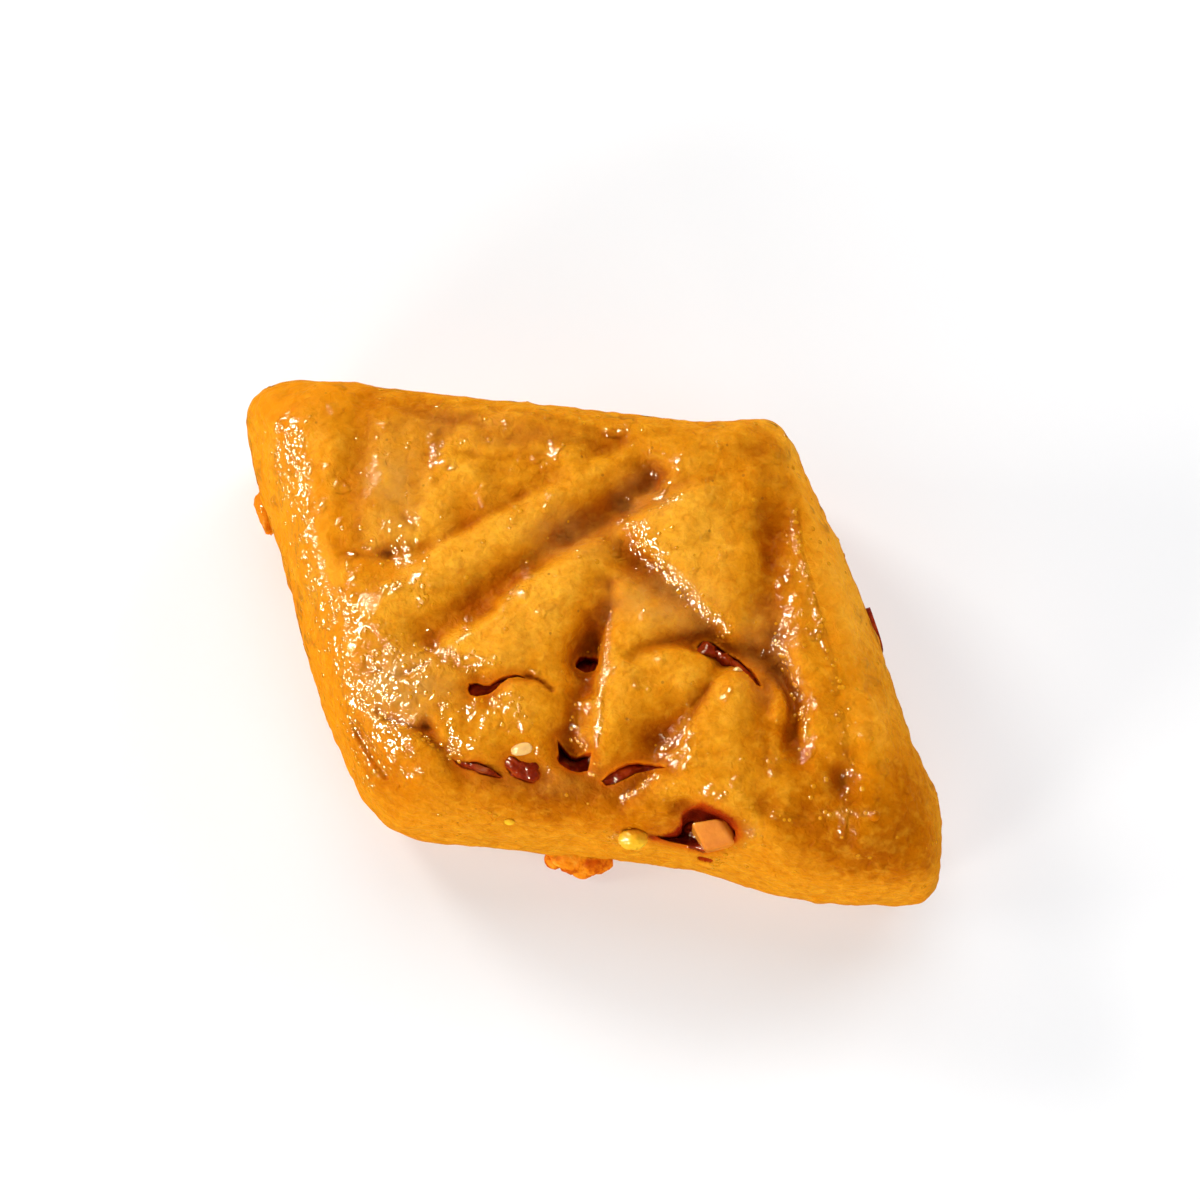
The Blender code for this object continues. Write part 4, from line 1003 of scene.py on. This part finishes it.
glazed, tree, mm = new_material("glazed_semolina_dough")
mottle = noise(tree, mm, 0.22, 3.0, 0.55)
patch = noise(tree, mm, 0.75, 3.0, 0.6)
grain = noise(tree, mm, 2.9, 3.0, 0.7)
ripple = noise(tree, mm, 1.5, 2.0, 0.5, 0.8)
# Golden on the crests and brown in the valleys, partly deeper honey and partly painted shade in the valleys,
# with warmer and paler clouds, grain, small pits and specks
lifted = calc(tree, "MULTIPLY_ADD", calc(tree, "SUBTRACT", patch, 0.5), 0.35, mask(tree, "relief_height"))
body = ramp(
    tree,
    lifted,
    (0.00, (0.340, 0.075, 0.0004)),
    (0.25, (0.480, 0.130, 0.0006)),
    (0.50, (0.665, 0.240, 0.0060)),
    (0.75, (0.830, 0.372, 0.0240)),
)
warm = ramp(tree, mottle, (0.35, BLACK), (0.65, WHITE))
body = mix_colour(tree, calc(tree, "MULTIPLY", warm, 0.35), body, (0.68, 0.20, 0.001))
grainy = ramp(tree, grain, (0.32, (0.74, 0.66, 0.60)), (0.50, WHITE), (0.68, (1.14, 1.20, 1.30)))
body = mix_colour(tree, 0.4, body, grainy, "MULTIPLY")
cloud = ramp(tree, noise(tree, mm, 1.1, 2.0, 0.6), (0.50, BLACK), (0.72, WHITE))
body = mix_colour(tree, calc(tree, "MULTIPLY", cloud, 0.28), body, (0.88, 0.42, 0.022))
pits = ramp(tree, ripple, (0.34, (0.82, 0.64, 0.50)), (0.50, WHITE), (0.66, (1.08, 1.12, 1.6)))
body = mix_colour(tree, 0.42, body, pits, "MULTIPLY")
specks = ramp(tree, cells(tree, mm, 0.42), (0.035, WHITE), (0.06, BLACK))
body = mix_colour(tree, calc(tree, "MULTIPLY", specks, 0.55), body, (0.24, 0.075, 0.008))
# Darker and redder in the creases, paler on the crests: partly honey pooled in the creases, partly painted
# shade in them and painted light on the crests
folds = mask(tree, "crease")
crease_shade_and_crest_light = ramp(tree, folds, (0.30, (1.08, 1.12, 1.2)), (0.50, WHITE), (0.90, (0.70, 0.50, 0.36)))
body = mix_colour(tree, 1.0, body, crease_shade_and_crest_light, "MULTIPLY")
# Places of another colour, each by its mask: the later ones cover the earlier
# The tear walls darken with depth: painted shade, kept pale on the pocket's lit walls: painted light
torn_wall_shade = ramp(
    tree,
    mask(tree, "painted_tear_shade"),
    (0.04, (0.66, 0.17, 0.003)),
    (0.14, (0.46, 0.055, 0.001)),
    (0.50, (0.22, 0.012, 0.001)),
)
crumbly = ramp(
    tree,
    patch,
    (0.40, (0.55, 0.090, 0.002)),
    (0.52, (0.84, 0.24, 0.006)),
    (0.66, (0.90, 0.36, 0.030)),
)
for name, strength, colour in (
    ("soaked", 1.0, (0.80, 0.245, 0.0015)),
    ("thin_skin", 1.0, (0.62, 0.280, 0.045)),
    ("tear_near", 0.45, (0.58, 0.145, 0.004)),
    ("tear_wall", 1.0, torn_wall_shade),
    ("core_wall", 1.0, (0.30, 0.035, 0.003)),
    ("slit_red", 1.0, (0.42, 0.040, 0.002)),
    ("bead_yellow", 1.0, (1.0, 0.52, 0.024)),
    ("bit_pale", 1.0, (0.92, 0.56, 0.19)),
    ("foot_orange", 1.0, crumbly),
    ("flap_orange", 1.0, (0.74, 0.215, 0.005)),
):
    body = mix_colour(tree, calc(tree, "MULTIPLY", mask(tree, name), strength), body, colour)
# Relief of the skin in millimetres: a fine grain, a ripple, and rounded lumps where the honey lies wet
wet_here = mask(tree, "wet")
fine = noise(tree, mm, 3.6, 2.0, 0.6)
pools = noise(tree, mm, 1.4, 0.7, 0.5, 0.3)
domes = calc(tree, "MULTIPLY", calc(tree, "MULTIPLY", pools, 0.42), wet_here)
wrinkles = calc(tree, "MULTIPLY_ADD", ripple, 0.19, calc(tree, "MULTIPLY", fine, 0.05))
calm = calc(tree, "MULTIPLY_ADD", wet_here, -0.7, 1.0)
swollen = bump(tree, calc(tree, "MULTIPLY_ADD", wrinkles, calm, domes), 1.0, MM)
set_shader(tree, {
    "Base Color": body,
    "Roughness": 0.42,
    "IOR": 1.3,
    "Specular IOR Level": 0.03,
    "Subsurface Weight": 0.22,
    "Subsurface Radius": (1.0, 0.35, 0.05),
    "Subsurface Scale": 1.2 * MM,
    "Coat Weight": calc(tree, "MULTIPLY", wet_here, 0.95),
    "Coat Roughness": 0.04,
    "Coat IOR": 1.6,
    "Normal": swollen,
    "Coat Normal": swollen,
})
dress(dough, glazed)
shade_smooth(dough)
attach(dough, "root")
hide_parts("dough")

# ---------------------------------------------------------------------------------------------------------
# Honey beads. After the soaking the honey draws together into small flat drops, in rows along the crests
# and creases and in loose patches. Each drop sits half sunk in the skin of the dough.

BEAD_SMALLEST = 0.09
BEAD_LARGEST = 0.21
BEAD_FLATNESS = 0.33
BEAD_SEED = 5
BEAD_SEGMENTS = 9
BEAD_RINGS = 6
BEADS_RISE = (5.0, 5.0)
CLEAR_OF_TEARS_RISE = (0.02, 0.1)

drops = new_object("honey_beads", dough.data.copy())
drops.data.materials.clear()
crowd = drops.data.attributes.new("beads", "FLOAT", "POINT")
upper = fade(z, *BEADS_RISE) * fade(tear_away, *CLEAR_OF_TEARS_RISE)
crowd.data.foreach_set("value", (beads * upper).astype(np.float32))

honey, tree, mm = new_material("honey_drops")
thick = noise(tree, mm, 0.4, 2.0, 0.5)
set_shader(tree, {
    "Base Color": ramp(tree, thick, (0.35, (0.66, 0.23, 0.003)), (0.65, (0.78, 0.31, 0.006))),
    "Roughness": 0.12,
    "IOR": 1.45,
    "Coat Weight": 1.0,
    "Coat Roughness": 0.05,
    "Coat IOR": 1.6,
})

scatter = bpy.data.node_groups.new("honey_bead_scatter", "GeometryNodeTree")
add_socket = scatter.interface.new_socket
for way in ("INPUT", "OUTPUT"):
    add_socket(name="Geometry", in_out=way, socket_type="NodeSocketGeometry")
settings = (
    ("Beads to the square millimetre", "NodeSocketFloat", 1.0),
    ("Smallest", "NodeSocketFloat", BEAD_SMALLEST),
    ("Largest", "NodeSocketFloat", BEAD_LARGEST),
    ("Flatness", "NodeSocketFloat", BEAD_FLATNESS),
    ("Seed", "NodeSocketInt", BEAD_SEED),
    ("Honey", "NodeSocketMaterial", honey),
)
keys = [add_socket(name=name, in_out="INPUT", socket_type=kind).identifier for name, kind, _value in settings]
given = node(scatter, "NodeGroupInput").outputs
stored = node(scatter, "GeometryNodeInputNamedAttribute", {"Name": "beads"}, data_type="FLOAT")
full = calc(scatter, "MULTIPLY", stored.outputs["Attribute"], given["Beads to the square millimetre"])
spots = node(
    scatter,
    "GeometryNodeDistributePointsOnFaces",
    {"Mesh": given["Geometry"], "Density": calc(scatter, "MULTIPLY", full, MM**-2), "Seed": given["Seed"]},
    distribute_method="RANDOM",
).outputs
round_form = {"Segments": BEAD_SEGMENTS, "Rings": BEAD_RINGS, "Radius": 1.0}
ball = node(scatter, "GeometryNodeMeshUVSphere", round_form)
width = node(
    scatter,
    "FunctionNodeRandomValue",
    {
        2: calc(scatter, "MULTIPLY", given["Smallest"], MM),
        3: calc(scatter, "MULTIPLY", given["Largest"], MM),
        "Seed": given["Seed"],
    },
    data_type="FLOAT",
).outputs[1]
tall = calc(scatter, "MULTIPLY", width, given["Flatness"])
placed = node(scatter, "GeometryNodeInstanceOnPoints", {
    "Points": spots["Points"],
    "Rotation": spots["Rotation"],
    "Instance": ball.outputs["Mesh"],
    "Scale": node(scatter, "ShaderNodeCombineXYZ", {"X": width, "Y": width, "Z": tall}).outputs[0],
})
real = node(scatter, "GeometryNodeRealizeInstances", {"Geometry": placed.outputs["Instances"]})
coated = node(scatter, "GeometryNodeSetMaterial", {"Geometry": real.outputs[0], "Material": given["Honey"]})
node(scatter, "NodeGroupOutput", {0: coated.outputs["Geometry"]})
step = drops.modifiers.new("scatter", "NODES")
step.node_group = scatter
for key, (_name, _kind, value) in zip(keys, settings):
    step[key] = value
apply_modifiers(drops)
shade_smooth(drops)
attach(drops, "root")

# ---------------------------------------------------------------------------------------------------------
# Filling. A roll of date paste kneaded with chopped almonds and honey, laid along the log before it is
# folded shut. It shows dark and wet in the tears and at both cut ends.

PASTE_LUMPS = (
    ("notch_lump", (-4.1, -11.4, 14.2), (1.5, 1.0, 2.0), 20.0),
    ("right_lump", (8.7, -1.6, 14.4), (1.1, 0.9, 2.4), -30.0),
    ("right_nut", (9.9, -2.1, 14.6), (0.9, 0.7, 2.2), -35.0),
    ("left_lump", (-7.6, -6.7, 14.0), (1.3, 0.8, 2.0), 10.0),
    ("front_lump", (4.0, -10.95, 13.3), (1.9, 0.6, 1.8), 20.0),
)

# How far below the skin the paste stands in each tear
PASTE_BELOW = {
    "left_tear": 0.75,
    "round_hole": 1.3,
    "front_tear_left": 0.7,
    "front_notch": 0.35,
    "front_hole": 1.3,
    "front_tear_mid": 0.6,
    "right_tear": 0.55,
    "pocket": 4.6,
}
PASTE_CLEAR = 0.07
PASTE_FOOT = 10.0
PASTE_STEP = 0.2
PASTE_BUMPS = ((1.0, 0.25, 51), (0.5, 0.15, 52))
PASTE_SHARES = (1.0, 1.0, 0.94, 0.78, 0.5, 0.2)
PASTE_ROUGHNESS = 0.12
FIRST_PASTE_SEED = 60
LEFT_END = (22.6, 0.8)


def paste_plug(name, outline, below):
    """Paste that stands in a tear: the tear's outline drawn in a little, from the core up to a lumpy top."""
    outline = fine_outline(outline, PASTE_STEP)
    run = np.roll(outline, -1, axis=0) - np.roll(outline, 1, axis=0)
    inward = np.column_stack([-run[:, 1], run[:, 0]]) / np.maximum(np.linalg.norm(run, axis=1), 1e-6)[:, None]
    outline = outline + inward * PASTE_CLEAR
    middle = outline.mean(axis=0)
    count = len(outline)
    rings = []
    for level, share in enumerate(PASTE_SHARES):
        ring = middle + (outline - middle) * share
        top = DOUGH_TOP + relief(ring[:, 0], ring[:, 1]) - below
        top += bumps(np.column_stack([ring, np.zeros(count)]), PASTE_BUMPS)
        z = np.full(count, PASTE_FOOT) if level == 0 else top - 0.5 * share**4 + 0.15
        rings.append(np.column_stack([ring, z]))
    peak = np.array([[*middle, rings[-1][:, 2].mean()]])
    last = (len(rings) - 1) * count
    faces = [tuple(range(count))[::-1]] + tube_faces(len(rings), count)
    faces += [(last + m, last + (m + 1) % count, last + count) for m in range(count)]
    return object_from(name, np.concatenate([*rings, peak]), faces)


filling = object_from("date_filling", *core_mesh(steps=200, around=90, rough=PASTE_ROUGHNESS))
for name, below in PASTE_BELOW.items():
    combine(filling, paste_plug(name + "_paste", TEARS[name], below), "UNION")
for number, (name, middle, sizes, turn) in enumerate(PASTE_LUMPS):
    combine(filling, lump(name, middle, sizes, turn, FIRST_PASTE_SEED + number), "UNION")
write_mask(filling, "left_end", fade(-places(filling)[:, 0], *LEFT_END))

paste, tree, mm = new_material("date_and_almond_paste")
dates = ramp(
    tree,
    noise(tree, mm, 0.9, 3.0, 0.6),
    (0.30, (0.16, 0.008, 0.001)),
    (0.55, (0.30, 0.020, 0.001)),
    (0.75, (0.46, 0.055, 0.002)),
)
nuts = ramp(tree, cells(tree, mm, 0.45), (0.22, WHITE), (0.30, BLACK))
dates = mix_colour(tree, calc(tree, "MULTIPLY", nuts, 0.4), dates, (0.42, 0.10, 0.015))
moist = bump(tree, noise(tree, mm, 1.5, 0.6, 0.5, 0.3), 1.0, 0.4 * MM)
set_shader(tree, {
    "Base Color": mix_colour(tree, mask(tree, "left_end"), dates, (0.60, 0.12, 0.004)),
    "Roughness": 0.28,
    "Subsurface Weight": 0.2,
    "Subsurface Radius": (1.0, 0.25, 0.08),
    "Subsurface Scale": MM,
    "Specular IOR Level": 0.2,
    "Coat Weight": 0.8,
    "Coat Roughness": 0.05,
    "Coat IOR": 1.5,
    "Normal": moist,
    "Coat Normal": moist,
})
dress(filling, paste)
shade_smooth(filling)
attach(filling, "root")
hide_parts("filling")

# ---------------------------------------------------------------------------------------------------------
# Almond piece. One chopped almond, skinned and soaked through with honey, stands in the pocket near the
# front edge, with its flat cut face to the front and a chamfer on its right.

# Corners of the slanting top face, from the left round the front, and of the lower face on its right
ALMOND_TOP = ((8.7, -14.5, 14.9), (10.0, -16.1, 13.0), (12.0, -15.4, 13.4), (10.6, -14.0, 15.1))
ALMOND_SIDE = ((12.5, -15.0, 12.7), (11.2, -13.85, 14.3))
ALMOND_FOOT = 12.0
ALMOND_BEVEL = 0.22

corners = ALMOND_TOP + ALMOND_SIDE
points = np.array([(x, y, ALMOND_FOOT) for x, y, _z in corners] + list(corners))
faces = [(3, 5, 4, 2, 1, 0), (6, 7, 8, 9), (9, 8, 10, 11)]
faces += [(0, 1, 7, 6), (1, 2, 8, 7), (2, 4, 10, 8), (4, 5, 11, 10), (5, 3, 9, 11), (3, 0, 6, 9)]
almond = object_from("almond_chunk", points, faces)
edges = almond.modifiers.new("edges", "BEVEL")
edges.width = ALMOND_BEVEL * MM
edges.segments = 5
edges.limit_method = "NONE"
finer = almond.modifiers.new("finer", "SUBSURF")
finer.subdivision_type = "SIMPLE"
finer.levels = 3
finer.render_levels = 3
apply_modifiers(almond)

nut, tree, mm = new_material("honey_soaked_almond")
kernel = ramp(
    tree,
    noise(tree, mm, 0.7, 3.0, 0.5),
    (0.30, (0.70, 0.18, 0.008)),
    (0.55, (0.86, 0.27, 0.018)),
    (0.75, (0.90, 0.36, 0.045)),
)
set_shader(tree, {
    "Base Color": kernel,
    "Roughness": 0.3,
    "Subsurface Weight": 0.15,
    "Subsurface Radius": (1.0, 0.35, 0.1),
    "Subsurface Scale": 1.2 * MM,
    "Coat Weight": 0.5,
    "Coat Roughness": 0.1,
    "Normal": bump(tree, noise(tree, mm, 2.6, 2.0, 0.5), 0.3, 0.2 * MM),
})
dress(almond, nut)
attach(almond, "root")
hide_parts("almond_piece")

# ---------------------------------------------------------------------------------------------------------
# Floor, light and camera. A plain near-white floor. Three warm key lamps stand in a row on the left and show
# in the honey, each with a brighter twin that lights the glints alone. Five wide soft lamps fill the rest.

FLOOR_SIZE = 2.4
FLOOR_GLOW = 0.34
ROOM_GLOW = 0.02
CAMERA_AZIMUTH = 5.5
CAMERA_ELEVATION = 75.0
CAMERA_AWAY = 0.4
CAMERA_LENS = 158.4
CAMERA_AT = (0.23, 3.18, 9.84)

# Each lamp by its turn round the piece and its rise over the floor in degrees, its width and height in
# metres, its power, and whether it shows in gloss
LAMPS = (
    ("strip_left_front", 228.0, 20.0, (0.22, 0.13), 2.55, True),
    ("strip_left", 185.5, 22.0, (0.22, 0.13), 2.0, True),
    ("strip_left_back", 142.0, 31.0, (0.22, 0.145), 3.0, True),
    ("soft_front", 275.5, 18.0, (0.45, 0.45), 2.9, False),
    ("soft_right_front", 320.5, 20.0, (0.45, 0.45), 1.3, False),
    ("soft_right", 5.5, 15.0, (0.45, 0.45), 0.5, False),
    ("soft_right_back", 50.5, 30.0, (0.45, 0.45), 2.7, False),
    ("soft_back_high", 95.5, 60.0, (0.45, 0.45), 2.4, False),
)
LAMP_AWAY = 0.8
LAMP_TARGET = np.array([0.0, 0.0, 0.01])
KEY_COLOUR = (1.0, 0.965, 0.89)
GLINT_SHARE = 3.6
GLINT_COLOUR = (1.0, 0.96, 0.62)
# A lamp exactly behind another one is hidden by it in sharp gloss, so the twin stands a little closer
GLINT_CLOSER = 0.97

mesh = bpy.data.meshes.new("floor")
side = FLOOR_SIZE / 2
mesh.from_pydata([(-side, -side, 0), (side, -side, 0), (side, side, 0), (-side, side, 0)], [], [(0, 1, 2, 3)])
floor = new_object("floor", mesh)
paper, tree, mm = new_material("white_paper")
fibre = noise(tree, mm, 0.02, 2.0, 0.5)
set_shader(tree, {
    "Base Color": ramp(tree, fibre, (0.3, (0.595, 0.605, 0.63)), (0.7, (0.615, 0.625, 0.65))),
    "Roughness": 0.9,
    "Specular IOR Level": 0.1,
    "Emission Color": WHITE,
    "Emission Strength": FLOOR_GLOW,
})
dress(floor, paper)
floor.visible_glossy = False

world = bpy.data.worlds.new("studio")
bpy.context.scene.world = world
world.use_nodes = True
sky = world.node_tree.nodes["Background"].inputs
feed(world.node_tree, sky["Color"], WHITE)
feed(world.node_tree, sky["Strength"], ROOM_GLOW)


def stand(obj, right, back, place):
    """Puts an object at a place, with its own axes along right, up and back."""
    up = np.cross(back, right)
    obj.matrix_world = Matrix((*((right[n], up[n], back[n], place[n]) for n in range(3)), (0, 0, 0, 1)))


def area_light(name, place, size, power, colour):
    """A soft light with a width and a height at a place, turned to the piece."""
    data = bpy.data.lights.new(name, "AREA")
    data.shape = "RECTANGLE"
    data.size, data.size_y = size
    data.energy = power
    data.color = colour
    made = new_object(name, data)
    back = place - LAMP_TARGET
    back = back / np.linalg.norm(back)
    right = np.cross((0, 0, 1), back)
    stand(made, right / np.linalg.norm(right), back, place)
    return made


for name, turn, rise, size, power, in_gloss in LAMPS:
    turn = math.radians(turn)
    rise = math.radians(rise)
    way = (math.cos(rise) * math.cos(turn), math.cos(rise) * math.sin(turn), math.sin(rise))
    place = LAMP_AWAY * np.array(way)
    lamp = area_light(name, place, size, power, KEY_COLOUR if in_gloss else WHITE)
    lamp.visible_glossy = in_gloss
    if in_gloss:
        glint = area_light(name + "_glint", GLINT_CLOSER * place, size, GLINT_SHARE * power, GLINT_COLOUR)
        glint.visible_diffuse = False

azimuth = math.radians(CAMERA_AZIMUTH)
elevation = math.radians(CAMERA_ELEVATION)
level = math.cos(elevation)
back = np.array([math.sin(azimuth) * level, -math.cos(azimuth) * level, math.sin(elevation)])
right = np.array([math.cos(azimuth), math.sin(azimuth), 0.0])
aim = (np.array(CAMERA_AT) + np.array([*ORIGIN_SHIFT, 0.0])) * MM
lens = bpy.data.cameras.new("camera")
lens.lens = CAMERA_LENS
lens.sensor_width = 36.0
lens.clip_start = 0.01
camera = new_object("camera", lens)
stand(camera, right, back, aim + back * CAMERA_AWAY)
bpy.context.scene.camera = camera
bpy.context.scene.view_settings.view_transform = "Standard"
